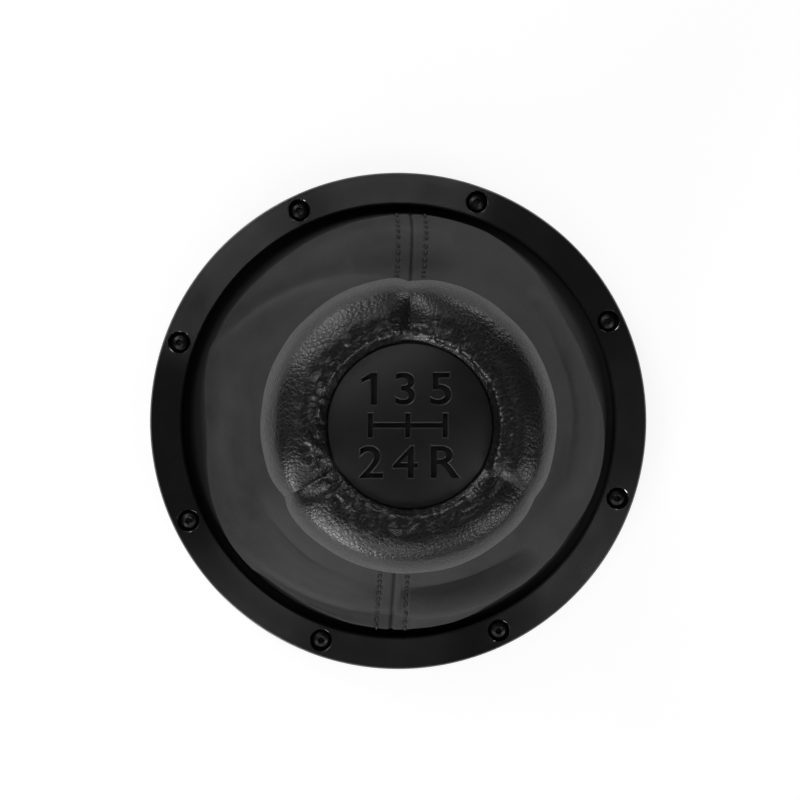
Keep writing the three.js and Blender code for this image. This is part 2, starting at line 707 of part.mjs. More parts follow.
for (let i = 0; i < KNOB_SEAM_COUNT; i++) {
  const start = KNOB_SEAM_AZIMUTH + (360 * i) / KNOB_SEAM_COUNT;
  place(`knob_cover_panel_${i + 1}`, knobPanel(start), "knobLeather");
}
place("knob_core", turnedUnevenly(coreProfile, KNOB_CORE_STEPS), "mouldedPlastic");
place("knob_trim_ring", trimRing(), "satinPlastic");
place("knob_bush", bush(), "brass");
place("knob_cap", cap(), "satinPlastic");

export default part;
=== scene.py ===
import itertools
import math

import bmesh
import bpy
from mathutils import Matrix, Vector, noise


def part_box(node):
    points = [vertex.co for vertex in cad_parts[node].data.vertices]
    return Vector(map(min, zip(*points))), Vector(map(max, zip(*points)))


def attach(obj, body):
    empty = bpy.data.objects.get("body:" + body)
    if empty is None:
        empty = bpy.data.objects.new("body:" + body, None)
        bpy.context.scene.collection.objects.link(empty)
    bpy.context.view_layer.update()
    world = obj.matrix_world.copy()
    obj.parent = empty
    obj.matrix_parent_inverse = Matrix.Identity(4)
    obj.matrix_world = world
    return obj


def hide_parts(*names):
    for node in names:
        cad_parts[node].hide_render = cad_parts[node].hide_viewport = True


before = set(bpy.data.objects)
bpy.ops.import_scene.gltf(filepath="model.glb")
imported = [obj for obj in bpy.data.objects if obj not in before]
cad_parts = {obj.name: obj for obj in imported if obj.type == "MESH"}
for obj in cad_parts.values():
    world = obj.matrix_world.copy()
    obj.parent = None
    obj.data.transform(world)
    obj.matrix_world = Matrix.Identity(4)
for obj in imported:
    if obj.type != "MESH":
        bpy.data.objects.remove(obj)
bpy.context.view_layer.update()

# Bezel ring: a turned aluminium cap, black anodised, with a flat face and a skirt down to the console. Fine tool
# lines run round its face, so that light spreads across them in radial fans. Eight counterbores take its screws.
MM = 0.001
BEZEL_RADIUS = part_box("bezel_ring")[1][0]
BEZEL_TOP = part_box("bezel_ring")[1][2]
FACE_WIDTH = 8.25 * MM
FACE_PLATE = 3.4 * MM
SKIRT_WALL = 1.2 * MM
BEZEL_CHAMFER = 0.4 * MM
OPENING_RADIUS = BEZEL_RADIUS - FACE_WIDTH
SCREW_CIRCLE = BEZEL_RADIUS - FACE_WIDTH / 2
SCREW_COUNT = 8
FIRST_SCREW_AZIMUTH = math.radians(25.4)
COUNTERBORE_RADIUS = 2.85 * MM
COUNTERBORE_DEPTH = 2 * MM
COUNTERBORE_CHAMFER = 0.15 * MM
SHANK_HOLE_RADIUS = 1.55 * MM
RING_STEPS = 240
COUNTERBORE_STEPS = 40
SMOOTH_UNDER = math.radians(38)
ANODISED = (0.25, 0.25, 0.255, 1)
ANODISED_WORN = (0.3, 0.3, 0.305, 1)
# Near black, painted as shade inside the counterbores.
MILLED_SHADE = (0.02, 0.02, 0.0205, 1)
MILLED_SHADE_WORN = (0.035, 0.035, 0.036, 1)


def new_piece(name, bm, material, slot, *nodes, smooth_under=SMOOTH_UNDER):
    """Links a finished bmesh as a piece of the object that stands for some of its solids."""
    mesh = bpy.data.meshes.new(name)
    bm.to_mesh(mesh)
    bm.free()
    piece = bpy.data.objects.new(name, mesh)
    bpy.context.scene.collection.objects.link(piece)
    mesh.shade_smooth()
    mesh.set_sharp_from_angle(angle=smooth_under)
    mesh.materials.append(material)
    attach(piece, "root")
    if nodes:
        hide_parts(*nodes)
    return piece


def ring_of_edges(bm, radius, height, steps, centre=(0, 0), turn=0):
    """A closed loop of edges, level, at a height."""
    place = Matrix.Translation((*centre, height)) @ Matrix.Rotation(turn, 4, "Z")
    loop = bmesh.ops.create_circle(bm, cap_ends=False, radius=radius, segments=steps, matrix=place)["verts"]
    return list({edge for vertex in loop for edge in vertex.link_edges if edge.other_vert(vertex) in loop})


def pull_out(bm, edges, height=None, radius_change=0, centre=(0, 0)):
    """Extrudes a loop to a new height, or in or out along the plane, and gives the new loop."""
    made = bmesh.ops.extrude_edge_only(bm, edges=edges)["geom"]
    vertices = [item for item in made if isinstance(item, bmesh.types.BMVert)]
    for vertex in vertices:
        if height is not None:
            vertex.co.z = height
        if radius_change:
            out = Vector((vertex.co.x - centre[0], vertex.co.y - centre[1], 0))
            vertex.co += out.normalized() * radius_change
    return [item for item in made if isinstance(item, bmesh.types.BMEdge)
            and all(vertex in vertices for vertex in item.verts)]


def add_node(tree, kind, settings=None, inputs=None):
    """Adds a node: its settings first, then the values or links of its sockets."""
    node = tree.nodes.new(kind)
    for name, value in (settings or {}).items():
        setattr(node, name, value)
    for name, value in (inputs or {}).items():
        if isinstance(value, bpy.types.NodeSocket):
            tree.links.new(value, node.inputs[name])
        else:
            node.inputs[name].default_value = value
    return node


def maths(tree, operation, *values):
    return add_node(tree, "ShaderNodeMath", {"operation": operation}, dict(enumerate(values))).outputs[0]


class Socket:
    """An output of a node. Arithmetic on it adds Math nodes."""

    def __init__(self, finish, output):
        self.finish = finish
        self.output = output

    def maths(self, operation, *values):
        return self.finish.maths(operation, *values)

    def __add__(self, other):
        return self.maths("ADD", self, other)

    def __sub__(self, other):
        return self.maths("SUBTRACT", self, other)

    def __rsub__(self, other):
        return self.maths("SUBTRACT", other, self)

    def __mul__(self, other):
        return self.maths("MULTIPLY", self, other)

    def __truediv__(self, other):
        return self.maths("DIVIDE", self, other)

    def __pow__(self, other):
        return self.maths("POWER", self, other)

    __radd__ = __add__
    __rmul__ = __mul__


class Finish:
    """A material with one Principled shader, whose patterns are written as expressions."""

    def __init__(self, name, base_color, roughness, metallic=0.0, **constants):
        self.material = bpy.data.materials.new(name)
        self.material.use_nodes = True
        self.tree = self.material.node_tree
        self.shader = self.tree.nodes["Principled BSDF"]
        self.set("Base Color", base_color)
        self.set("Roughness", roughness)
        self.set("Metallic", metallic)
        for socket, value in constants.items():
            self.set(socket.replace("_", " "), value)

    def node(self, kind, settings=None, inputs=None, output=0):
        values = {name: value.output if isinstance(value, Socket) else value
                  for name, value in (inputs or {}).items()}
        return Socket(self, add_node(self.tree, kind, settings, values).outputs[output])

    def maths(self, operation, *values):
        return self.node("ShaderNodeMath", {"operation": operation}, dict(enumerate(values)))

    def set(self, socket, value):
        if isinstance(value, Socket):
            self.tree.links.new(value.output, self.shader.inputs[socket])
        else:
            self.shader.inputs[socket].default_value = value

    def place(self):
        return self.node("ShaderNodeTexCoord", output="Object")

    def warped(self, size, reach):
        """Object coordinates pushed about by noise, so that cells come out uneven."""
        where = {"Vector": self.place(), "Scale": 1 / size}
        push = self.node("ShaderNodeTexNoise", None, where, output="Color")
        return self.node("ShaderNodeVectorMath", {"operation": "MULTIPLY_ADD"},
                         {0: push, 1: (reach, reach, reach), 2: self.place()})

    def axes(self):
        split = self.node("ShaderNodeSeparateXYZ", None, {"Vector": self.place()})
        return [Socket(self, output) for output in split.output.node.outputs]

    def turned(self):
        """Radius and height, for lines that a lathe tool leaves round the axis."""
        x, y, z = self.axes()
        return self.node("ShaderNodeCombineXYZ", None, {"X": (x * x + y * y) ** 0.5, "Z": z})

    def along_mesh(self, name):
        """A number that the mesh carries at its points."""
        return self.node("ShaderNodeAttribute", {"attribute_name": name}, output="Fac")

    def grain(self, size, detail=3.0, roughness=0.55, where=None, distortion=0.0):
        """Noise with grains of about a size in metres."""
        return self.node("ShaderNodeTexNoise", None, {
            "Vector": where or self.place(), "Scale": 1 / size, "Detail": detail,
            "Roughness": roughness, "Distortion": distortion})

    def cells(self, size, feature="F1", where=None, smoothness=None):
        """Distance inside rounded cells of about a size in metres."""
        values = {"Vector": where or self.place(), "Scale": 1 / size}
        if smoothness is not None:
            values["Smoothness"] = smoothness
        return self.node("ShaderNodeTexVoronoi", {"feature": feature}, values)

    def spread(self, value, low, high, to_low, to_high):
        """Maps a range of values to another and stops at its ends."""
        return self.node("ShaderNodeMapRange", {"clamp": True}, {
            "Value": value, "From Min": low, "From Max": high, "To Min": to_low, "To Max": to_high})

    def blend(self, mask, low, high):
        return self.node("ShaderNodeMix", {"data_type": "RGBA"}, {0: mask, 6: low, 7: high}, output=2)

    def relief(self, *layers):
        """Bumps, each given as a height between 0 and 1 and its depth in metres."""
        normal = None
        for height, depth in layers:
            inputs = {"Height": height, "Distance": depth, "Strength": 1.0}
            if normal:
                inputs["Normal"] = normal
            normal = self.node("ShaderNodeBump", None, inputs)
        self.set("Normal", normal)


def turned_black_metal():
    metal = Finish("turned_black_anodising", ANODISED, 0.16, metallic=1.0,
                   Anisotropic=1.0, Anisotropic_Rotation=0.25)
    tool_lines = metal.grain(0.16 * MM, detail=2, where=metal.turned())
    wide_lines = metal.grain(1.3 * MM, detail=1, where=metal.turned())
    bloom = metal.grain(9 * MM, detail=2)
    metal.set("Roughness", metal.spread(tool_lines + 0.5 * wide_lines + 0.4 * bloom, 0.6, 1.3, 0.13, 0.19))
    worn = metal.spread(bloom, 0.35, 0.75, 0.0, 1.0)
    metal.set("Base Color", metal.blend(worn, ANODISED, ANODISED_WORN))
    metal.relief((tool_lines, 0.0016 * MM))
    return metal.material


def counterbore_shade_metal():
    """The counterbores: milled duller than the face, and painted near black as painted shade in their recesses."""
    metal = Finish("milled_anodising_painted_shade", MILLED_SHADE, 0.6, metallic=1.0)
    marks = metal.grain(0.3 * MM, detail=2)
    metal.set("Roughness", metal.spread(marks, 0.3, 0.7, 0.5, 0.68))
    metal.set("Base Color", metal.blend(marks, MILLED_SHADE, MILLED_SHADE_WORN))
    metal.relief((marks, 0.01 * MM))
    return metal.material


def make_bezel():
    bm = bmesh.new()
    top = BEZEL_TOP
    inner = ring_of_edges(bm, OPENING_RADIUS + BEZEL_CHAMFER, top, RING_STEPS)
    outer = ring_of_edges(bm, BEZEL_RADIUS - BEZEL_CHAMFER, top, RING_STEPS)
    bores = []
    for index in range(SCREW_COUNT):
        centre = screw_centre(index)
        rim = ring_of_edges(bm, COUNTERBORE_RADIUS + COUNTERBORE_CHAMFER, top, COUNTERBORE_STEPS, centre)
        bores.append((centre, rim))
    rims = inner + outer + [edge for _, loop in bores for edge in loop]
    bmesh.ops.triangle_fill(bm, use_beauty=True, edges=rims, normal=(0, 0, 1))
    under = top - FACE_PLATE
    ceiling = ring_of_edges(bm, BEZEL_RADIUS - SKIRT_WALL, under, RING_STEPS)
    openings = []
    for centre, loop in bores:
        loop = pull_out(bm, loop, top - COUNTERBORE_CHAMFER, -COUNTERBORE_CHAMFER, centre)
        turned_faces = set(bm.faces)
        loop = pull_out(bm, loop, top - COUNTERBORE_DEPTH)
        loop = pull_out(bm, loop, None, SHANK_HOLE_RADIUS - COUNTERBORE_RADIUS, centre)
        loop = pull_out(bm, loop, under)
        openings += loop
        # The counterbores and shank holes below their chamfers take the second material, painted near black as
        # shade in the recess.
        for face in set(bm.faces) - turned_faces:
            face.material_index = 1
    loop = pull_out(bm, inner, top - BEZEL_CHAMFER, -BEZEL_CHAMFER)
    loop = pull_out(bm, loop, under)
    bmesh.ops.triangle_fill(bm, use_beauty=True, edges=loop + ceiling + openings, normal=(0, 0, -1))
    loop = pull_out(bm, ceiling, 0)
    loop = pull_out(bm, loop, None, SKIRT_WALL)
    loop = pull_out(bm, loop, top - BEZEL_CHAMFER)
    bmesh.ops.bridge_loops(bm, edges=loop + outer)
    bmesh.ops.remove_doubles(bm, verts=bm.verts, dist=0.001 * MM)
    bmesh.ops.recalc_face_normals(bm, faces=bm.faces)
    ring = new_piece("bezel_ring_turned", bm, turned_black_metal(), "anodised_black", "bezel_ring")
    ring.data.materials.append(counterbore_shade_metal())


def screw_centre(index):
    azimuth = FIRST_SCREW_AZIMUTH + 2 * math.pi * index / SCREW_COUNT
    return (SCREW_CIRCLE * math.cos(azimuth), SCREW_CIRCLE * math.sin(azimuth))


make_bezel()

# Screws: button heads in black steel with a hexagon socket, sunk just below the bezel's face. Each stopped at its
# own angle when it was driven.
HEAD_RADIUS = 2.35 * MM
HEAD_HEIGHT = 1.5 * MM
HEAD_RIM = 0.35 * MM
SOCKET_CORNER = 0.95 * MM
SOCKET_DEPTH = 0.9 * MM
SOCKET_CHAMFER = 0.1 * MM
DOME_START = 32
DOME_STEPS = 7
SHANK_RADIUS = 1.25 * MM
SHANK_CHAMFER = 0.4 * MM
SCREW_END = 0.6 * MM
HEXAGON = 6
STEPS_A_SIDE = 6
HEAD_SEAT = BEZEL_TOP - COUNTERBORE_DEPTH
SCREW_TURNS = (12, 47, 5, 33, 21, 55, 40, 28)
BLACK_STEEL = (0.04, 0.04, 0.041, 1)
RUBBED_STEEL = (0.075, 0.075, 0.077, 1)


def blackened_steel():
    steel = Finish("blackened_steel", BLACK_STEEL, 0.3, metallic=1.0)
    marks = steel.grain(0.5 * MM, detail=4)
    steel.set("Roughness", steel.spread(marks, 0.3, 0.7, 0.32, 0.5))
    rubbed = steel.spread(steel.grain(1.4 * MM), 0.45, 0.7, 0.0, 1.0)
    steel.set("Base Color", steel.blend(rubbed, BLACK_STEEL, RUBBED_STEEL))
    steel.relief((marks, 0.006 * MM))
    return steel.material


def make_screw(index, material):
    bm = bmesh.new()
    dome_top = HEAD_SEAT + HEAD_HEIGHT
    loop = ring_of_edges(bm, SOCKET_CORNER, dome_top - SOCKET_DEPTH, HEXAGON * STEPS_A_SIDE)
    half_side = math.pi / HEXAGON
    for vertex in {vertex for edge in loop for vertex in edge.verts}:
        azimuth = math.atan2(vertex.co.y, vertex.co.x) % (2 * half_side) - half_side
        shrink = math.cos(half_side) / math.cos(azimuth)
        vertex.co.x *= shrink
        vertex.co.y *= shrink
    bmesh.ops.triangle_fill(bm, use_beauty=True, edges=loop, normal=(0, 0, 1))
    loop = pull_out(bm, loop, dome_top - SOCKET_CHAMFER)
    loop = pull_out(bm, loop, dome_top - SOCKET_CHAMFER / 5, SOCKET_CHAMFER)
    round_off(loop, SOCKET_CORNER + SOCKET_CHAMFER, 0.8)
    for step in range(1, DOME_STEPS + 1):
        angle = math.radians(DOME_START + (90 - DOME_START) * step / DOME_STEPS)
        loop = pull_out(bm, loop, HEAD_SEAT + HEAD_RIM + (HEAD_HEIGHT - HEAD_RIM) * math.cos(angle) ** 0.85)
        round_off(loop, HEAD_RADIUS * math.sin(angle), 1)
    loop = pull_out(bm, loop, HEAD_SEAT)
    loop = pull_out(bm, loop, None, SHANK_RADIUS - HEAD_RADIUS)
    loop = pull_out(bm, loop, SCREW_END + SHANK_CHAMFER)
    loop = pull_out(bm, loop, SCREW_END, -SHANK_CHAMFER)
    bmesh.ops.triangle_fill(bm, use_beauty=True, edges=loop, normal=(0, 0, -1))
    driven = Matrix.Rotation(math.radians(SCREW_TURNS[index]), 4, "Z")
    bmesh.ops.transform(bm, matrix=Matrix.Translation((*screw_centre(index), 0)) @ driven, verts=bm.verts)
    bmesh.ops.recalc_face_normals(bm, faces=bm.faces)
    new_piece(f"bezel_screw_{index + 1}_head", bm, material, "black_steel", f"bezel_screw_{index + 1}")


def round_off(loop, radius, share):
    """Moves a loop about the axis towards a circle."""
    for vertex in {vertex for edge in loop for vertex in edge.verts}:
        across = math.hypot(vertex.co.x, vertex.co.y)
        wanted = across + (radius - across) * share
        vertex.co.x *= wanted / across
        vertex.co.y *= wanted / across


screw_steel = blackened_steel()
for screw_index in range(SCREW_COUNT):
    make_screw(screw_index, screw_steel)

# Gaiter: two panels of soft black leather, sewn together along the front and the back of the lever. The hem is
# clamped flat under the bezel. The leather rises out of it in a wall, turns over a shoulder, and runs up to a neck
# that is turned in on itself. Where it is pulled tight the shoulder runs straight, and slack lies in soft folds.
LEATHER = 1.2 * MM
SEAM_AZIMUTH = math.radians(87.5)
HEM_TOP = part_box("gaiter_left_panel")[0][2] + LEATHER
HEM_EDGE = -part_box("gaiter_left_panel")[0][1]
WALL_RADIUS = OPENING_RADIUS - 2 * MM
HEM_BEND = 1.5 * MM
SHOULDER_RADIUS = WALL_RADIUS - 2.35 * MM
SHOULDER_HEIGHT = 19 * MM
SHOULDER_LIFT = 0.5
SHOULDER_TURN = 2.2 * MM
ROOF_SLOPE = math.radians(44)
WALL_LEAN = 12
LEAN_FOR_PULL = 11
WALL_FULLNESS = 10 * MM
ROOF_FULLNESS = 32 * MM
NECK_FULLNESS = 34 * MM
NECK_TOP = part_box("gaiter_left_panel")[1][2]
NECK_RADIUS = 18.6 * MM
NECK_INNER_RADIUS = 15.3 * MM
NECK_TAIL = 7.7 * MM
NECK_FOLD = (NECK_RADIUS - NECK_INNER_RADIUS) / 2
ROOF_TOP = NECK_TOP - NECK_FOLD - NECK_TAIL - LEATHER
PLEAT_COUNT = 13
PLEAT_DEPTH = 0.55 * MM
PLEAT_LENGTH = 22 * MM
UNEVEN = ((0.22 * MM, 9 * MM), (0.08 * MM, 3 * MM))
SEAM_ROLL = 0.45 * MM
SEAM_DIP = 0.65 * MM
SEAM_ASKEW = math.radians(3.6)
ASKEW_SPREAD = 40
STITCH_PITCH = 2.6 * MM
ROW_NEAR_HEM = 3.6 * MM
ROW_NEAR_NECK = 2.9 * MM
COLUMNS = 190
COLUMN_CROWDING = 0.75
LEATHER_SMOOTH_UNDER = math.radians(80)
HEM_STEPS, BEND_STEPS, WALL_STEPS, TURN_STEPS = 4, 5, 10, 6
ROOF_STEPS, NECK_STEPS, FOLD_STEPS, TAIL_STEPS = 56, 6, 8, 5
FREE_FROM = HEM_STEPS + BEND_STEPS
FREE_TO = FREE_FROM + WALL_STEPS + TURN_STEPS + ROOF_STEPS
GAITER_DYE = (0.02, 0.02, 0.0205, 1)
# Paler tone, for faded patches and for the painted light on fold ridges.
GAITER_FADED_AND_LIT = (0.066, 0.066, 0.0665, 1)
# Near black, painted as shade on the wall close to the hem.
GAITER_PAINTED_SHADE = (0.0015, 0.0015, 0.0015, 1)
# How much the fold rise pales or darkens the leather: wear on the ridges and painted fold shading.
FOLD_WEAR_AND_SHADE = 0.28 / MM
# The leather gets paler towards +x and darker towards -x.
PALING_ALONG_X = 0.008 / MM
PAINTED_SHADE_LEAN = 0.08

# Azimuth and spread in degrees, and the pull in millimetres
TAUT_SPANS = ((26, 23, 4.6), (130, 32, 2.5), (184, 19, 4.1), (312, 19, 2.6))

# Azimuths in degrees, then the insets from the shoulder at both ends and in the middle, the width and the rise in
# millimetres
FOLDS = (
    (-24, 46, 5.2, 6.4, 0, 2.4, 1.5),
    (-20, 42, 8.8, 8.2, 0, 0.9, -1.1),
    (72, 108, 13.8, 13.8, 0, 3.4, -1.2),
    (74, 124, 5.0, 6.5, 0, 2.2, 0.7),
    (94, 160, 18.8, 3.2, 2.5, 1.9, 1.7),
    (108, 158, 11.0, 0.4, 1.5, 1.6, -0.8),
    (162, 206, 9.6, 9.8, 0, 3.0, 0.9),
    (206, 262, 16.4, 10.2, 0, 1.9, 1.0),
    (218, 270, 2.2, 6.4, 0.6, 1.6, 1.3),
    (226, 274, -0.6, 2.6, 0, 1.8, -1.4),
    (216, 264, 12.4, 11.2, 0, 1.4, -1.3),
    (270, 316, 9.8, 6.2, 0, 1.9, -2.8),
    (268, 326, 4.6, 2.0, 0, 1.5, 1.9),
    (316, 356, 12.4, 11.9, 0, 2.6, -1.0),
)


def turn_between(start, end):
    """Degrees from one azimuth to another the short way round."""
    return (end - start + 180) % 360 - 180


def bend(start, leaving, end, arriving, share):
    """A point on a cubic that leaves and arrives along two tangents."""
    cubic, square = share ** 3, share ** 2
    return (start * (2 * cubic - 3 * square + 1) + leaving * (cubic - 2 * square + share)
            + end * (3 * square - 2 * cubic) + arriving * (cubic - square))


def fold_rise(azimuth, radius):
    """How far the leather stands out at an azimuth in degrees and a plan radius in metres."""
    rise = 0
    inset = (SHOULDER_RADIUS - radius) / MM
    for first, last, first_inset, last_inset, bulge, width, height in FOLDS:
        share = (turn_between((first + last) / 2, azimuth) + (last - first) / 2) / (last - first)
        if 0 < share < 1:
            middle = first_inset + (last_inset - first_inset) * share + bulge * 4 * share * (1 - share)
            rise += height * math.sin(math.pi * share) ** 0.5 * math.exp(-((inset - middle) / width) ** 2)
    return rise * MM


def shares(count):
    """Even shares of a way, from its first step to its end."""
    return [step / count for step in range(1, count + 1)]


def on_circle(centre, radius, angle):
    return Vector((centre[0] + radius * math.cos(angle), centre[1] + radius * math.sin(angle)))


def gaiter_path(azimuth):
    """The outer face of the leather at an azimuth, from the hem's edge to the end of the turned in neck."""
    degrees = math.degrees(azimuth)
    pull = sum(most * math.exp(-(turn_between(middle, degrees) / spread) ** 2)
               for middle, spread, most in TAUT_SPANS) * MM
    lean = math.radians(WALL_LEAN + LEAN_FOR_PULL * pull / MM)
    shoulder = Vector((SHOULDER_RADIUS - pull, SHOULDER_HEIGHT + pull * SHOULDER_LIFT))
    slope = Vector((-math.cos(ROOF_SLOPE), math.sin(ROOF_SLOPE)))
    neck_start = Vector((NECK_RADIUS, ROOF_TOP))
    bend_start = WALL_RADIUS + HEM_BEND
    path = [Vector((HEM_EDGE, HEM_TOP))]
    path += [Vector((HEM_EDGE + (bend_start - HEM_EDGE) * share, HEM_TOP)) for share in shares(HEM_STEPS)]
    bend_centre = (bend_start, HEM_TOP + HEM_BEND)
    path += [on_circle(bend_centre, HEM_BEND, -math.pi / 2 - (math.pi / 2 - lean) * share)
             for share in shares(BEND_STEPS)]
    turn_end = math.pi / 2 - ROOF_SLOPE
    turn_centre = on_circle(shoulder, -SHOULDER_TURN, turn_end)
    turn_start = turn_centre + Vector((SHOULDER_TURN, 0))
    wall_start = path[-1]
    leaving = WALL_FULLNESS * Vector((-math.sin(lean), math.cos(lean)))
    path += [bend(wall_start, leaving, turn_start, Vector((0, WALL_FULLNESS)), share)
             for share in shares(WALL_STEPS)]
    path += [on_circle(turn_centre, SHOULDER_TURN, turn_end * share) for share in shares(TURN_STEPS)]
    path += [bend(shoulder, slope * ROOF_FULLNESS, neck_start, Vector((0, NECK_FULLNESS)), share)
             for share in shares(ROOF_STEPS)]
    neck_top = NECK_TOP - NECK_FOLD
    path += [Vector((NECK_RADIUS, ROOF_TOP + (neck_top - ROOF_TOP) * share)) for share in shares(NECK_STEPS)]
    path += [on_circle((NECK_RADIUS - NECK_FOLD, neck_top), NECK_FOLD, math.pi * share)
             for share in shares(FOLD_STEPS)]
    path += [Vector((NECK_INNER_RADIUS, neck_top - NECK_TAIL * share)) for share in shares(TAIL_STEPS)]
    return path


def within(value):
    """A share held between none and all."""
    return min(max(value, 0), 1)


def outward(path, index):
    along = path[min(index + 1, len(path) - 1)] - path[max(index - 1, 0)]
    return Vector((along.y, -along.x)).normalized()


def gaiter_point(azimuth, path, index, from_seam):
    """Where a point of the leather lies, with its folds, pleats, rolled seam edge and small unevenness."""
    point = path[index]
    normal = outward(path, index)
    free = within((index - FREE_FROM) / 6) * within((FREE_TO - index) / 5)
    rise = fold_rise(math.degrees(azimuth), point.x)
    pleat_share = max(1 - abs(point.y - (ROOF_TOP - PLEAT_LENGTH / 2)) / (PLEAT_LENGTH / 2), 0)
    rise += PLEAT_DEPTH * pleat_share * math.cos(PLEAT_COUNT * azimuth)
    place = Vector((point.x * math.cos(azimuth), point.x * math.sin(azimuth), point.y))
    rise += free * sum(depth * noise.noise(place / size) for depth, size in UNEVEN)
    rise -= free * SEAM_DIP * math.exp(-(from_seam / SEAM_ROLL) ** 2)
    moved = point + normal * rise * free
    azimuth += seam_drift(azimuth, point.x)
    return Vector((moved.x * math.cos(azimuth), moved.x * math.sin(azimuth), moved.y))


def up_the_roof(radius):
    """The share of the way from the shoulder to the neck at a plan radius."""
    return within((SHOULDER_RADIUS - radius) / (SHOULDER_RADIUS - NECK_RADIUS))


def seam_drift(azimuth, radius):
    """The front seam was sewn a little askew, and turns away from its azimuth as it nears the neck."""
    aside = turn_between(math.degrees(SEAM_AZIMUTH), math.degrees(azimuth)) / ASKEW_SPREAD
    reach = math.exp(-aside ** 2) * min(radius / SHOULDER_RADIUS, 1) ** 2
    return -SEAM_ASKEW * (up_the_roof(radius) ** 0.7 + 0.15) * reach


def gaiter_leather():
    hide = Finish("gaiter_leather", GAITER_DYE, 0.6, Specular_IOR_Level=0.3)
    pores = hide.cells(0.55 * MM, feature="SMOOTH_F1", smoothness=0.7)
    fine = hide.grain(0.25 * MM, detail=3)
    patches = hide.grain(11 * MM, detail=3)
    creases = hide.grain(3.2 * MM, detail=4, roughness=0.6, distortion=0.8)
    x, _, height = hide.axes()
    # Random patches fade the leather, and it gets paler towards +x. It is also paler where it stands out in folds
    # and darker in their hollows: partly wear on the ridges, partly painted fold shading.
    wear_and_shade = patches + FOLD_WEAR_AND_SHADE * hide.along_mesh("standing_out") + PALING_ALONG_X * x
    faded_and_lit = hide.blend(hide.spread(wear_and_shade, 0.0, 1.0, 0.0, 1.0), GAITER_DYE, GAITER_FADED_AND_LIT)
    # Painted shade: from the hem some way up the wall the leather is painted near black, standing in for the shade
    # in the gap under the bezel. The band reaches higher towards -x, and the leather is rougher there too.
    out_of_painted_shade = hide.spread(height + PAINTED_SHADE_LEAN * x, HEM_TOP + 1.5 * MM, HEM_TOP + 10 * MM, 0.0, 1.0)
    hide.set("Base Color", hide.blend(out_of_painted_shade, GAITER_PAINTED_SHADE, faded_and_lit))
    hide.set("Roughness", hide.spread(fine + patches, 0.7, 1.3, 0.54, 0.68) + 0.35 * (1 - out_of_painted_shade))
    wander = hide.grain(3.1 * MM, detail=2) - 0.5
    from_row = hide.maths("ABSOLUTE", hide.along_mesh("from_row") + 1.3 * MM * wander)
    near_row = hide.spread(from_row, 0.1 * MM, 0.8 * MM, 1.0, 0.0)
    pulled = 0.6 + 0.4 * hide.maths("COSINE", hide.along_mesh("along") * (2 * math.pi / STITCH_PITCH))
    hide.relief((creases, 0.10 * MM), (pores, 0.035 * MM), (fine, 0.012 * MM),
                (1 - near_row * pulled, 0.42 * MM))
    return hide.material


def row_aside(radius):
    """How far a row of stitches runs from its seam at a plan radius."""
    return ROW_NEAR_HEM + (ROW_NEAR_NECK - ROW_NEAR_HEM) * up_the_roof(radius)


def fan(rows, sweep, columns):
    """A flat fan of faces round the origin, whose vertices are then moved to where the leather lies."""
    bm = bmesh.new()
    strip = [bm.verts.new((1 + row, 0, 0)) for row in range(rows)]
    edges = [bm.edges.new(pair) for pair in zip(strip, strip[1:])]
    bmesh.ops.spin(bm, geom=strip + edges, cent=(0, 0, 0), axis=(0, 0, 1), dvec=(0, 0, 0),
                   angle=sweep, steps=columns, use_merge=False, use_duplicate=False)
    return bm


def place_in_fan(vertex, sweep, columns):
    turn = math.atan2(vertex.co.y, vertex.co.x) % (2 * math.pi)
    return round(turn / sweep * columns), round(math.hypot(vertex.co.x, vertex.co.y)) - 1


def thicken(panel, thickness):
    wall = panel.modifiers.new("hide_thickness", "SOLIDIFY")
    wall.thickness = thickness
    wall.offset = -1


def make_gaiter_panel(side, start, material):
    bm = fan(len(gaiter_path(start)), math.pi, COLUMNS)
    paths = [gaiter_path(start + seam_spacing(column)) for column in range(COLUMNS + 1)]
    standing_out = bm.verts.layers.float.new("standing_out")
    from_row = bm.verts.layers.float.new("from_row")
    along = bm.verts.layers.float.new("along")
    seam_path = paths[0][FREE_FROM:]
    run = list(itertools.accumulate((b - a).length for a, b in zip(seam_path, seam_path[1:])))
    for vertex in bm.verts:
        column, row = place_in_fan(vertex, math.pi, COLUMNS)
        share = seam_spacing(column)
        radius = paths[column][row].x
        from_seam = min(share, math.pi - share) * radius
        vertex[from_row] = from_seam - row_aside(radius)
        vertex[standing_out] = fold_rise(math.degrees(start + share), radius)
        vertex[along] = run[row - FREE_FROM - 1] if row > FREE_FROM else 0
        vertex.co = gaiter_point(start + share, paths[column], row, from_seam)
    bmesh.ops.recalc_face_normals(bm, faces=bm.faces)
    if sum(face.normal.z for face in bm.faces) < 0:
        bmesh.ops.reverse_faces(bm, faces=bm.faces)
    panel = new_piece(f"gaiter_{side}_leather", bm, material, "gaiter_leather", f"gaiter_{side}_panel",
                      smooth_under=LEATHER_SMOOTH_UNDER)
    thicken(panel, LEATHER)
    return panel


def seam_spacing(column):
    return math.pi * crowded(column / COLUMNS, COLUMN_CROWDING)


def crowded(share, crowding):
    """Moves columns closer together near a panel's two seams."""
    return share - crowding * math.sin(2 * math.pi * share) / (2 * math.pi)


hide_material = gaiter_leather()
gaiter_panels = [make_gaiter_panel("left", SEAM_AZIMUTH, hide_material),
                 make_gaiter_panel("right", SEAM_AZIMUTH + math.pi, hide_material)]


def panel_cut():
    """The flat size of one panel: half the girth at the hem by the length of its path, and its real area."""
    path = gaiter_path(SEAM_AZIMUTH + math.pi / 2)
    length = sum((b - a).length for a, b in zip(path, path[1:]))
    area = sum((b - a).length * math.pi * (a.x + b.x) / 2 for a, b in zip(path, path[1:]))
    return (math.pi * HEM_EDGE, length), area


panel_size, panel_area = panel_cut()

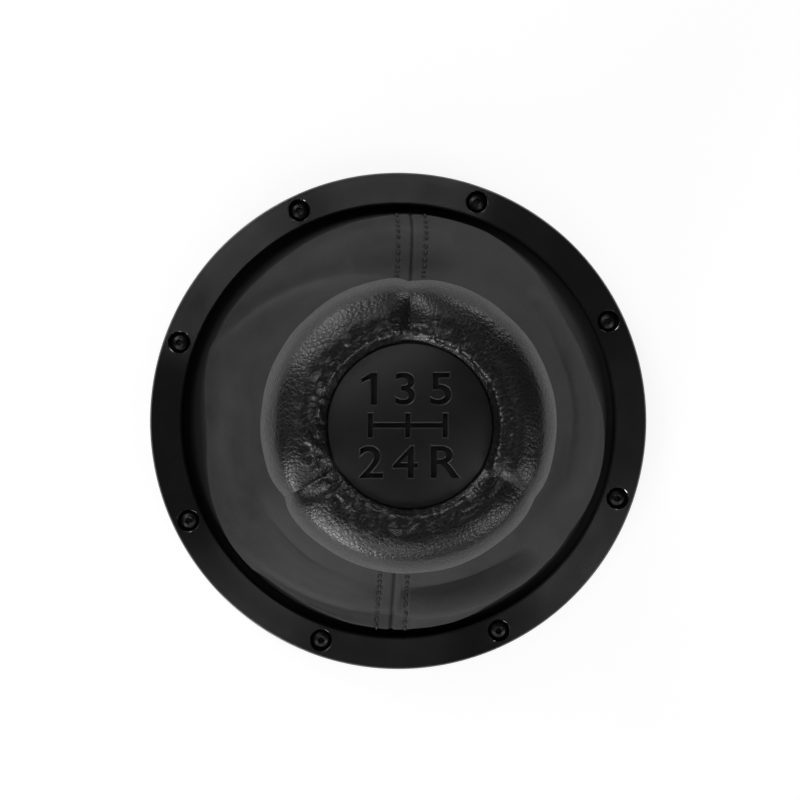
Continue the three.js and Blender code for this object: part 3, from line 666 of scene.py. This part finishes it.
# Seam stitching: black waxed thread in two rows beside each seam, which hold the seam allowances down inside. Each
# stitch sinks at its ends, where the thread goes through the leather.
STITCH_LENGTH = 1.9 * MM
THREAD_RADIUS = 0.3 * MM
FIRST_STITCH = 1.0 * MM
THREAD = (0.012, 0.012, 0.0125, 1)
THREAD_FLUFF = (0.025, 0.025, 0.026, 1)


def waxed_thread():
    thread = Finish("waxed_thread", THREAD, 0.5)
    twist = thread.grain(0.22 * MM, detail=2)
    thread.set("Roughness", thread.spread(twist, 0.3, 0.7, 0.4, 0.62))
    thread.set("Base Color", thread.blend(twist, THREAD, THREAD_FLUFF))
    thread.relief((twist, 0.05 * MM))
    return thread.material


def stitch_row(bm, seam, side):
    path = gaiter_path(seam)
    travelled = 0
    next_stitch = FIRST_STITCH
    for index in range(FREE_FROM + 4, FREE_TO):
        step = (path[index + 1] - path[index]).length
        if travelled + step >= next_stitch:
            aside = row_aside(path[index].x)
            azimuth = seam + side * aside / path[index].x
            here = gaiter_point(azimuth, gaiter_path(azimuth), index, aside)
            ahead = gaiter_point(azimuth, gaiter_path(azimuth), index + 1, aside)
            add_stitch(bm, here, (ahead - here).normalized(), azimuth)
            next_stitch += STITCH_PITCH
        travelled += step


def add_stitch(bm, place, along, azimuth):
    round_about = Vector((-math.sin(azimuth), math.cos(azimuth), 0))
    across = round_about - along * along.dot(round_about)
    across.normalize()
    out = along.cross(across).normalized()
    if out.z < 0:
        out.negate()
    made = bmesh.ops.create_uvsphere(bm, u_segments=6, v_segments=5, radius=1)["verts"]
    drawn = Matrix((across * THREAD_RADIUS, out * THREAD_RADIUS * 0.8, along * STITCH_LENGTH / 2)).transposed()
    lifted = Matrix.Translation(place + out * THREAD_RADIUS * 0.3)
    bmesh.ops.transform(bm, matrix=lifted @ drawn.to_4x4(), verts=made)


def make_stitching():
    thread = waxed_thread()
    for name, seam in (("front", SEAM_AZIMUTH), ("back", SEAM_AZIMUTH + math.pi)):
        bm = bmesh.new()
        for side in (-1, 1):
            stitch_row(bm, seam, side)
        bmesh.ops.recalc_face_normals(bm, faces=bm.faces)
        new_piece(f"gaiter_{name}_stitching", bm, thread, "gaiter_leather", smooth_under=LEATHER_SMOOTH_UNDER)


make_stitching()

# Knob cover: three panels of grained leather, stretched over the core and tucked into the groove round the cap.
# They meet in three creases, and at the inner rim the slack is gathered in small puckers.
CAP_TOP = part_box("knob_cap")[1][2]
KNOB_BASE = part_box("knob_cover_panel_1")[0][2]
KNOB_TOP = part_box("knob_cover_panel_1")[1][2]
KNOB_RADIUS = 27.8 * MM
KNOB_BELLY = 21.8 * MM
CROWN_RADIUS = 20.2 * MM
CREST_RADIUS = 18.2 * MM
CREST_TURN = math.acos(0.55)
CREST_LEAVING = 5 * MM
CREST_ARRIVING = 6.5 * MM
KNOB_HIDE = 0.8 * MM
RIM_ROLL = 3.2 * MM
RIM_RADIUS = 15.6 * MM
RIM_TUCK = 3.8 * MM
FOOT_RADIUS = 17 * MM
FOOT_ROLL = 1.1 * MM
FOOT_TUCK = 2.6 * MM
BELLY_FULLNESS = 26 * MM
FOOT_FULLNESS = 16 * MM
FOOT_TUCK_STEPS, FOOT_STEPS, BELLY_STEPS, CROWN_STEPS, CREST_STEPS, LIP_STEPS = 3, 4, 34, 20, 16, 20
RIM_TUCK_STEPS = 4
KNOB_SEAM_AZIMUTH = math.radians(90)
KNOB_SEAM_DIPS = (2.1 * MM, 2.5 * MM, 1.4 * MM)
KNOB_SEAMS = len(KNOB_SEAM_DIPS)
KNOB_SEAM_ROLL = 1.8 * MM
KNOB_SEAM_FLARE = 3.3 * MM
PEBBLE_SIZE = 0.85 * MM
PUCKER_DEPTH = 0.7 * MM
PUCKER_SIZE = 1.6 * MM
PUCKER_REACH = 3.5 * MM
SLACK_AZIMUTH = math.radians(190)
BEAD_RADIUS = 16.4 * MM
BEAD_WIDTH = 0.5 * MM
BEAD_RISE = 0.55 * MM
BEAD_SIZE = 0.9 * MM
BEAD_HOLLOW = 2.1 * MM
LIP_RADIUS = 14.95 * MM
LIP_GAP = 0.15 * MM
LIP_SLOPE = Vector((-2.4, -4.4)) * MM
KNOB_COLUMNS = 150
KNOB_CROWDING = 0.6
KNOB_LEATHER = (0.003, 0.003, 0.0031, 1)
KNOB_GROOVES = (0.001, 0.001, 0.001, 1)


def knob_path():
    """The outer face of the leather, from under the knob over its crown and down into the groove round the cap."""
    belly = KNOB_BASE + KNOB_BELLY
    foot_turn = (FOOT_RADIUS, KNOB_BASE + FOOT_ROLL)
    path = [Vector((FOOT_RADIUS - FOOT_TUCK, KNOB_BASE))]
    path += [Vector((FOOT_RADIUS - FOOT_TUCK * (1 - share), KNOB_BASE)) for share in shares(FOOT_TUCK_STEPS)]
    path += [on_circle(foot_turn, FOOT_ROLL, math.radians(-90 + 45 * share)) for share in shares(FOOT_STEPS)]
    path += [bend(path[-1], Vector((FOOT_FULLNESS / 2, FOOT_FULLNESS)), Vector((KNOB_RADIUS, belly)),
                  Vector((0, BELLY_FULLNESS)), share) for share in shares(BELLY_STEPS)]
    reach, height = KNOB_RADIUS - CROWN_RADIUS, KNOB_TOP - belly
    path += [Vector((CROWN_RADIUS + reach * math.cos(CREST_TURN * share),
                     belly + height * math.sin(CREST_TURN * share))) for share in shares(CROWN_STEPS)]
    falling = Vector((-reach * math.sin(CREST_TURN), height * math.cos(CREST_TURN))).normalized()
    crest, lip = Vector((CREST_RADIUS, KNOB_TOP)), Vector((LIP_RADIUS, CAP_TOP + LIP_GAP))
    path += [bend(path[-1], falling * CREST_LEAVING, crest, Vector((-CREST_ARRIVING, 0)), share)
             for share in shares(CREST_STEPS)]
    path += [bend(crest, Vector((LIP_RADIUS - CREST_RADIUS, 0)), lip, LIP_SLOPE, share)
             for share in shares(LIP_STEPS)]
    rim_low = KNOB_TOP - RIM_ROLL
    path += [Vector((RIM_RADIUS, rim_low - RIM_TUCK * share)) for share in [0, *shares(RIM_TUCK_STEPS)]]
    return path


def knob_point(azimuth, path, index, from_seam, seam_roll, seam_dip):
    """Where a point of the leather lies, with its crease, puckers, beaded lip and small unevenness."""
    point = path[index]
    normal = outward(path, index)
    place = Vector((point.x * math.cos(azimuth), point.x * math.sin(azimuth), point.y))
    above_foot = within((point.y - KNOB_BASE - FOOT_ROLL) / (3 * MM))
    inside = within((len(path) - 1 - index) / RIM_TUCK_STEPS)
    on_top = point.y > CAP_TOP - 9 * MM
    at_lip = within((LIP_RADIUS + 1.6 * MM - point.x) / (1.2 * MM)) if on_top else 0
    over_crown = (KNOB_RADIUS - point.x) / (KNOB_RADIUS - CROWN_RADIUS) if on_top else 0
    crease = seam_dip * within(max(over_crown, 0.35)) * math.exp(-(from_seam / seam_roll) ** 1.5)
    crease *= (1 - 0.5 * at_lip) * above_foot * inside
    slack = 0.62 - 0.38 * math.cos(azimuth - SLACK_AZIMUTH - math.pi)
    swirl = Vector((azimuth * RIM_RADIUS / PUCKER_SIZE, point.x / (1.3 * PUCKER_SIZE), 4.2))
    swirl.x += 0.7 * noise.noise(swirl * 0.6)
    pucker = noise.noise(swirl) + 0.5 * noise.noise(swirl * 2.1) + 0.15 * noise.noise(swirl * 3.3)
    pucker = max(pucker, -0.75 + 0.6 * at_lip)
    at_rim = within((CROWN_RADIUS + 0.6 * MM - point.x) / (2.6 * MM)) if point.y > CAP_TOP - 2 * MM else 0
    at_rim *= 1 - 0.6 * within((CREST_RADIUS - point.x) / (2.2 * MM))
    rise = PUCKER_DEPTH * slack * at_rim * inside * (pucker + 0.05) * within(from_seam / PUCKER_REACH)
    beads = 0.7 + 0.9 * noise.noise(Vector((azimuth * RIM_RADIUS / BEAD_SIZE, 0.3, 7.7)))
    bead_rise = (1.25 - slack) * BEAD_RISE if point.y > CAP_TOP else 0
    rise += bead_rise * beads * math.exp(-((point.x - BEAD_RADIUS) / BEAD_WIDTH) ** 2)
    rise -= bead_rise * 0.9 * math.exp(-((point.x - BEAD_RADIUS - BEAD_HOLLOW) / (1.1 * MM)) ** 2)
    rise += 0.16 * MM * noise.noise(place / (6 * MM)) * inside * above_foot
    moved = point + normal * rise - normal.lerp(Vector((0, 1)), at_lip) * crease
    return Vector((moved.x * math.cos(azimuth), moved.x * math.sin(azimuth), moved.y))


def knob_leather():
    hide = Finish("knob_leather", KNOB_LEATHER, 0.4, Specular_IOR_Level=0.9)
    jitter = hide.grain(1.3 * MM, detail=2)
    where = hide.warped(2.6 * MM, 0.9 * MM)
    pebbles = hide.cells(PEBBLE_SIZE, feature="SMOOTH_F1", smoothness=0.35, where=where)
    veins = hide.cells(PEBBLE_SIZE, feature="DISTANCE_TO_EDGE", where=where)
    small = hide.cells(0.5 * MM, feature="F1")
    height = hide.spread(veins, 0.0, 0.22, 0.0, 1.0)
    hide.set("Roughness", hide.spread(height + 0.4 * jitter, 0.2, 1.3, 0.42, 0.32))
    hide.set("Base Color", hide.blend(height, KNOB_GROOVES, KNOB_LEATHER))
    hide.relief((1 - pebbles, 0.045 * MM), (height, 0.022 * MM), (1 - small, 0.018 * MM), (jitter, 0.05 * MM))
    return hide.material


def make_knob_panel(number, start, material):
    path = knob_path()
    sweep = 2 * math.pi / KNOB_SEAMS
    bm = fan(len(path), sweep, KNOB_COLUMNS)
    for vertex in bm.verts:
        column, row = place_in_fan(vertex, sweep, KNOB_COLUMNS)
        turn = sweep * crowded(column / KNOB_COLUMNS, KNOB_CROWDING)
        from_seam = min(turn, sweep - turn) * path[row].x
        roll = KNOB_SEAM_ROLL if turn < sweep / 2 else KNOB_SEAM_FLARE
        dip = KNOB_SEAM_DIPS[number - 1 if turn < sweep / 2 else number % KNOB_SEAMS]
        vertex.co = knob_point(start + turn, path, row, from_seam, roll, dip)
    bmesh.ops.recalc_face_normals(bm, faces=bm.faces)
    middle = start + sweep / 2
    if sum(face.normal.dot(Vector((math.cos(middle), math.sin(middle), 0.5))) for face in bm.faces) < 0:
        bmesh.ops.reverse_faces(bm, faces=bm.faces)
    panel = new_piece(f"knob_leather_{number}", bm, material, "knob_leather", f"knob_cover_panel_{number}",
                      smooth_under=math.radians(85))
    thicken(panel, KNOB_HIDE)


knob_material = knob_leather()
for panel_index in range(KNOB_SEAMS):
    make_knob_panel(panel_index + 1, KNOB_SEAM_AZIMUTH + panel_index * 2 * math.pi / KNOB_SEAMS, knob_material)

# Knob cap: a disc moulded in satin black plastic, with the shift pattern sunk into its face: six places in two
# rows and the gate between them. Snap legs behind it hold it in the core.
CAP_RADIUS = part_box("knob_cap")[1][0]
CAP_THICKNESS = 2.4 * MM
CAP_CHAMFER = 0.4 * MM
CAP_STEPS = 128
CAP_CROWN = 2.0 * MM
ENGRAVING_DEPTH = 0.8 * MM
ENGRAVING_EDGE = 0.2 * MM
ENGRAVING_SLOPE = 0.1 * MM
CHARACTER_HEIGHT = 5.7 * MM
COLUMN_OFFSET = 6.7 * MM
ROW_OFFSET = 6.55 * MM
PATTERN_CENTRE = (-0.4 * MM, 0.1 * MM)
GATE_GROOVE = 0.85 * MM
GATE_LENGTH = 4.3 * MM
CHARACTER_STRETCH = 1.15
STROKE_GROWTH = 0.007
FLAGGED_ONE = ((-0.07, -0.5), (0.09, -0.5), (0.09, 0.5), (-0.07, 0.5), (-0.32, 0.32), (-0.32, 0.2), (-0.07, 0.33))
PLACES = (("1", -0.91, 1), ("3", -0.07, 1), ("5", 0.88, 1), ("2", -0.98, -1), ("4", -0.07, -1), ("R", 1, -1))
SATIN_PLASTIC = (0.0025, 0.0025, 0.0026, 1)
HANDLED_PLASTIC = (0.004, 0.004, 0.0041, 1)
CUT_PLASTIC = (0.005, 0.005, 0.005, 1)
CUT_MARKS = (0.008, 0.008, 0.008, 1)
# The sloped engraving edges are painted paler, as a painted highlight.
EDGE_PLASTIC = (0.004, 0.004, 0.004, 1)
EDGE_HIGHLIGHT_PLASTIC = (0.026, 0.026, 0.0265, 1)


def satin_plastic():
    plastic = Finish("satin_black_plastic", SATIN_PLASTIC, 0.4, Specular_IOR_Level=0.88)
    texture = plastic.grain(0.18 * MM, detail=2)
    handled = plastic.grain(7 * MM, detail=3)
    plastic.set("Roughness", plastic.spread(texture + handled, 0.7, 1.3, 0.35, 0.45))
    handled = plastic.spread(handled, 0.3, 0.7, 0.0, 1.0)
    plastic.set("Base Color", plastic.blend(handled, SATIN_PLASTIC, HANDLED_PLASTIC))
    x, y, _ = plastic.axes()
    crown = 1 - (x * x + y * y) / CAP_RADIUS ** 2
    plastic.relief((crown, CAP_CROWN), (texture, 0.006 * MM))
    return plastic.material


def cut_plastic():
    """The rough floors and walls that the engraving tool leaves."""
    plastic = Finish("cut_black_plastic", CUT_PLASTIC, 0.6, Specular_IOR_Level=0.4)
    marks = plastic.grain(0.12 * MM, detail=3)
    plastic.set("Base Color", plastic.blend(marks, CUT_PLASTIC, CUT_MARKS))
    plastic.relief((marks, 0.02 * MM))
    return plastic.material


def edge_highlight_plastic():
    """The sloped edges of the engraving, painted paler in patches as a painted highlight where they catch the
    light.
    """
    plastic = Finish("black_plastic_painted_edge_highlight", EDGE_PLASTIC, 0.45, Specular_IOR_Level=0.7)
    marks = plastic.grain(1.1 * MM, detail=2)
    plastic.set("Base Color", plastic.blend(marks, EDGE_PLASTIC, EDGE_HIGHLIGHT_PLASTIC))
    plastic.relief((marks, 0.01 * MM))
    return plastic.material


def character_outline(bm, character, centre):
    """Adds the outline of one character, scaled to its height and centred. The one has a flag."""
    if character == "1":
        corners = [(x * CHARACTER_STRETCH * CHARACTER_HEIGHT, y * CHARACTER_HEIGHT) for x, y in FLAGGED_ONE]
        return closed_outline(bm, [(centre[0] + x, centre[1] + y) for x, y in corners])
    curve = bpy.data.curves.new("character", "FONT")
    curve.body = character
    curve.size = 1
    curve.resolution_u = 5
    curve.offset = STROKE_GROWTH
    text = bpy.data.objects.new("character", curve)
    bpy.context.scene.collection.objects.link(text)
    bpy.context.view_layer.update()
    flat = bpy.data.meshes.new_from_object(text.evaluated_get(bpy.context.evaluated_depsgraph_get()))
    bpy.data.objects.remove(text)
    letter = bmesh.new()
    letter.from_mesh(flat)
    bpy.data.meshes.remove(flat)
    bmesh.ops.remove_doubles(letter, verts=letter.verts, dist=1e-5)
    across = [vertex.co.x for vertex in letter.verts]
    upward = [vertex.co.y for vertex in letter.verts]
    scale = CHARACTER_HEIGHT / (max(upward) - min(upward))
    middle = Vector((min(across) + max(across), min(upward) + max(upward), 0)) / 2
    outline = [edge for edge in letter.edges if edge.is_boundary]
    vertices = dict.fromkeys(vertex for edge in outline for vertex in edge.verts)
    for vertex in vertices:
        place = (vertex.co - middle) * scale
        vertices[vertex] = bm.verts.new((centre[0] + CHARACTER_STRETCH * place.x, centre[1] + place.y, CAP_TOP))
    rim = [bm.edges.new([vertices[vertex] for vertex in edge.verts]) for edge in outline]
    letter.free()
    return rim


def gate_outline(bm):
    """The gate between the rows: three short grooves joined by a cross groove."""
    half, reach = GATE_GROOVE / 2, GATE_LENGTH / 2
    corners = []
    for column in (-1, 0, 1):
        x = PATTERN_CENTRE[0] + column * COLUMN_OFFSET
        if column > -1:
            corners.append((x - half, half))
        corners += [(x - half, reach), (x + half, reach)]
        if column < 1:
            corners.append((x + half, half))
    corners += [(x, -y) for x, y in reversed(corners)]
    return closed_outline(bm, [(x, y + PATTERN_CENTRE[1]) for x, y in corners])


def closed_outline(bm, corners):
    vertices = [bm.verts.new((x, y, CAP_TOP)) for x, y in corners]
    return [bm.edges.new(pair) for pair in zip(vertices, vertices[1:] + vertices[:1])]


def fill(bm, edges):
    filled = bmesh.ops.triangle_fill(bm, use_beauty=True, edges=edges, normal=(0, 0, 1))["geom"]
    return [item for item in filled if isinstance(item, bmesh.types.BMFace)]


def make_cap():
    bm = bmesh.new()
    rim = ring_of_edges(bm, CAP_RADIUS - CAP_CHAMFER, CAP_TOP, CAP_STEPS)
    marks = gate_outline(bm)
    for character, column, row in PLACES:
        centre = (PATTERN_CENTRE[0] + column * COLUMN_OFFSET, PATTERN_CENTRE[1] + row * ROW_OFFSET)
        marks += character_outline(bm, character, centre)
    floors = fill(bm, marks)
    sunk = bmesh.ops.extrude_face_region(bm, geom=floors)["geom"]
    bmesh.ops.translate(bm, vec=(0, 0, -ENGRAVING_DEPTH),
                        verts=[item for item in sunk if isinstance(item, bmesh.types.BMVert)])
    bmesh.ops.delete(bm, geom=[face for face in floors if face.is_valid], context="FACES_ONLY")
    open_rims = [edge for edge in bm.edges
                 if edge.is_boundary and min(vertex.co.z for vertex in edge.verts) > CAP_TOP - 1e-6]
    sloped = bmesh.ops.inset_region(bm, faces=fill(bm, list({*open_rims, *rim})), thickness=ENGRAVING_EDGE,
                                    depth=ENGRAVING_SLOPE, use_even_offset=True, use_boundary=True)["faces"]
    rim = [edge for edge in bm.edges if edge.is_boundary]
    for face in bm.faces:
        if face.calc_center_median().z < CAP_TOP - ENGRAVING_DEPTH / 2:
            face.material_index = 1
    # The sloped edges of the engraving take the painted edge highlight; the slope at the cap's rim keeps the satin
    # finish.
    for face in sloped:
        if face.calc_center_median().xy.length < CAP_RADIUS - 2 * MM:
            face.material_index = 2
    loop = pull_out(bm, rim, CAP_TOP - CAP_CHAMFER, CAP_CHAMFER)
    loop = pull_out(bm, loop, CAP_TOP - CAP_THICKNESS)
    loop = pull_out(bm, loop, None, -1.5 * MM)
    bmesh.ops.triangle_fill(bm, use_beauty=True, edges=loop, normal=(0, 0, -1))
    bmesh.ops.recalc_face_normals(bm, faces=bm.faces)
    cap = new_piece("knob_cap_engraved", bm, satin_material, "satin_plastic", "knob_cap",
                    smooth_under=math.radians(25))
    cap.data.materials.append(cut_plastic())
    cap.data.materials.append(edge_highlight_plastic())


satin_material = satin_plastic()
make_cap()

# Hidden pieces: the moulded core, collar and strap, the trim ring under the knob, the brass bush and the clamp
# ring. Their solids show as they are, each with its own finish.
MOULDED_BLACK = (0.02, 0.02, 0.0205, 1)
MOULDED_PALER = (0.03, 0.03, 0.031, 1)
BRASS, DULLED_BRASS = (0.62, 0.42, 0.15, 1), (0.5, 0.33, 0.12, 1)
ALLOY, DULLED_ALLOY = (0.5, 0.51, 0.52, 1), (0.42, 0.43, 0.44, 1)


def moulded_plastic():
    plastic = Finish("moulded_black_plastic", MOULDED_BLACK, 0.6)
    texture = plastic.grain(0.35 * MM, detail=3)
    plastic.set("Roughness", plastic.spread(texture, 0.3, 0.7, 0.5, 0.7))
    plastic.set("Base Color", plastic.blend(plastic.grain(6 * MM), MOULDED_BLACK, MOULDED_PALER))
    plastic.relief((texture, 0.03 * MM))
    return plastic.material


def turned_metal(name, colour, dulled):
    metal = Finish(name, colour, 0.35, metallic=1.0)
    lines = metal.grain(0.25 * MM, detail=2, where=metal.turned())
    metal.set("Roughness", metal.spread(lines, 0.3, 0.7, 0.28, 0.45))
    metal.set("Base Color", metal.blend(metal.grain(4 * MM), colour, dulled))
    metal.relief((lines, 0.01 * MM))
    return metal.material


def dress(node, material):
    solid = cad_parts[node]
    solid.data.materials.clear()
    solid.data.materials.append(material)


moulded_material = moulded_plastic()
for hidden in ("knob_core", "gaiter_collar", "gaiter_strap"):
    dress(hidden, moulded_material)
dress("knob_trim_ring", satin_material)
dress("knob_bush", turned_metal("turned_brass", BRASS, DULLED_BRASS))
dress("clamp_ring", turned_metal("turned_alloy", ALLOY, DULLED_ALLOY))

# Floor: a plain pale sheet at the height of the console. For the camera half of its colour is a glow, so that
# it comes out white and still takes the object's soft shadow. Polished pieces mirror little of that glow.
FLOOR_SIZE = 6.0
FLOOR_PAINT = (0.6, 0.6, 0.6, 1)
FLOOR_GLOW = 1.64
GLOW_SHARE = 0.5
MIRRORED_SHARE = 0.1


def floor_paint():
    material = bpy.data.materials.new("pale_floor")
    material.use_nodes = True
    tree = material.node_tree
    tree.nodes.clear()
    rays = add_node(tree, "ShaderNodeLightPath").outputs
    mirrored = maths(tree, "MAXIMUM", rays["Is Glossy Ray"], rays["Is Transmission Ray"])
    seen = maths(tree, "MAXIMUM", rays["Is Camera Ray"], maths(tree, "MULTIPLY", mirrored, MIRRORED_SHARE))
    share = maths(tree, "MULTIPLY", seen, GLOW_SHARE)
    paint = add_node(tree, "ShaderNodeBsdfDiffuse", inputs={"Color": FLOOR_PAINT}).outputs[0]
    glow = add_node(tree, "ShaderNodeEmission", inputs={"Strength": FLOOR_GLOW}).outputs[0]
    mixed = add_node(tree, "ShaderNodeMixShader", inputs={0: share, 1: paint, 2: glow}).outputs[0]
    add_node(tree, "ShaderNodeOutputMaterial", inputs={"Surface": mixed})
    return material


def make_floor():
    bm = bmesh.new()
    bmesh.ops.create_grid(bm, x_segments=1, y_segments=1, size=FLOOR_SIZE / 2)
    mesh = bpy.data.meshes.new("floor")
    bm.to_mesh(mesh)
    bm.free()
    mesh.materials.append(floor_paint())
    floor = bpy.data.objects.new("floor", mesh)
    bpy.context.scene.collection.objects.link(floor)


make_floor()

# Studio light: softboxes of one size all round the object, in a pale room that looks dark in a reflection, darkest
# at its ceiling. The low one in front on the left is the strongest. Each softbox has its azimuth and elevation in
# degrees and its power.
AIM_HEIGHT = 0.05
SOFTBOX_DISTANCE = 1.0
SOFTBOX_WIDTH, SOFTBOX_HEIGHT = 0.4, 0.3
SOFTBOXES = (
    (238, 10, 2.8), (230, 34, 1.2), (270, 34, 0.7), (130, 34, 1.3), (125, 10, 1.25), (150, 10, 0.3),
    (60, 10, 0.95), (320, 34, 1.3), (140, 58, 0.27), (90, 58, 0.3), (90, 34, 0.1), (320, 58, 0.1),
    (235, 58, 0.06), (350, 58, 0.04),
)
ROOM_LIGHT = 0.31
WALLS_END, CEILING_START = 0.02, 0.3
WALLS_MIRRORED, CEILING_MIRRORED = 0.15, 0.03


def softbox(azimuth, elevation, power):
    lamp = bpy.data.lights.new(f"softbox_{azimuth}_{elevation}", "AREA")
    lamp.shape = "RECTANGLE"
    lamp.size, lamp.size_y, lamp.energy = SOFTBOX_WIDTH, SOFTBOX_HEIGHT, power
    obj = bpy.data.objects.new(lamp.name, lamp)
    around, up = math.radians(azimuth), math.radians(elevation)
    aim = Vector((0, 0, AIM_HEIGHT))
    towards = Vector((math.cos(up) * math.cos(around), math.cos(up) * math.sin(around), math.sin(up)))
    obj.location = aim + SOFTBOX_DISTANCE * towards
    obj.rotation_euler = (aim - obj.location).to_track_quat("-Z", "Y").to_euler()
    bpy.context.scene.collection.objects.link(obj)


for softbox_azimuth, softbox_elevation, softbox_power in SOFTBOXES:
    softbox(softbox_azimuth, softbox_elevation, softbox_power)


def make_room():
    world = bpy.data.worlds.new("room")
    bpy.context.scene.world = world
    world.use_nodes = True
    tree = world.node_tree
    tree.nodes.clear()
    rays = add_node(tree, "ShaderNodeLightPath").outputs
    direction = add_node(tree, "ShaderNodeTexCoord").outputs["Generated"]
    height = add_node(tree, "ShaderNodeSeparateXYZ", inputs={0: direction}).outputs["Z"]
    mirrored = add_node(tree, "ShaderNodeMapRange", inputs={
        "Value": height, "From Min": WALLS_END, "From Max": CEILING_START,
        "To Min": WALLS_MIRRORED, "To Max": CEILING_MIRRORED}).outputs[0]
    walls = add_node(tree, "ShaderNodeBackground", inputs={"Strength": mirrored}).outputs[0]
    plain = add_node(tree, "ShaderNodeBackground", inputs={"Strength": ROOM_LIGHT}).outputs[0]
    white = add_node(tree, "ShaderNodeBackground", inputs={"Strength": 1.0}).outputs[0]
    glossy = maths(tree, "MAXIMUM", rays["Is Glossy Ray"], rays["Is Transmission Ray"])
    lit = add_node(tree, "ShaderNodeMixShader", inputs={0: glossy, 1: plain, 2: walls}).outputs[0]
    camera_ray = rays["Is Camera Ray"]
    seen = add_node(tree, "ShaderNodeMixShader", inputs={0: camera_ray, 1: lit, 2: white}).outputs[0]
    add_node(tree, "ShaderNodeOutputWorld", inputs={"Surface": seen})


make_room()

# Camera: straight above the knob, a little to the left of the lever's line.
CAMERA_PLACE = Vector((-6.2, 3.0, 353.0)) * MM
CAMERA_AIM = Vector((0.24, 5.39, 8.0)) * MM
LENS = 59.35

camera_data = bpy.data.cameras.new("camera")
camera_data.lens = LENS
camera = bpy.data.objects.new("camera", camera_data)
bpy.context.scene.collection.objects.link(camera)
sight = (CAMERA_AIM - CAMERA_PLACE).normalized()
right = sight.cross(Vector((0, 1, 0))).normalized()
upward = right.cross(sight)
camera.matrix_world = Matrix.Translation(CAMERA_PLACE) @ Matrix((right, upward, -sight)).transposed().to_4x4()
bpy.context.scene.camera = camera
bpy.context.scene.view_settings.view_transform = "Standard"
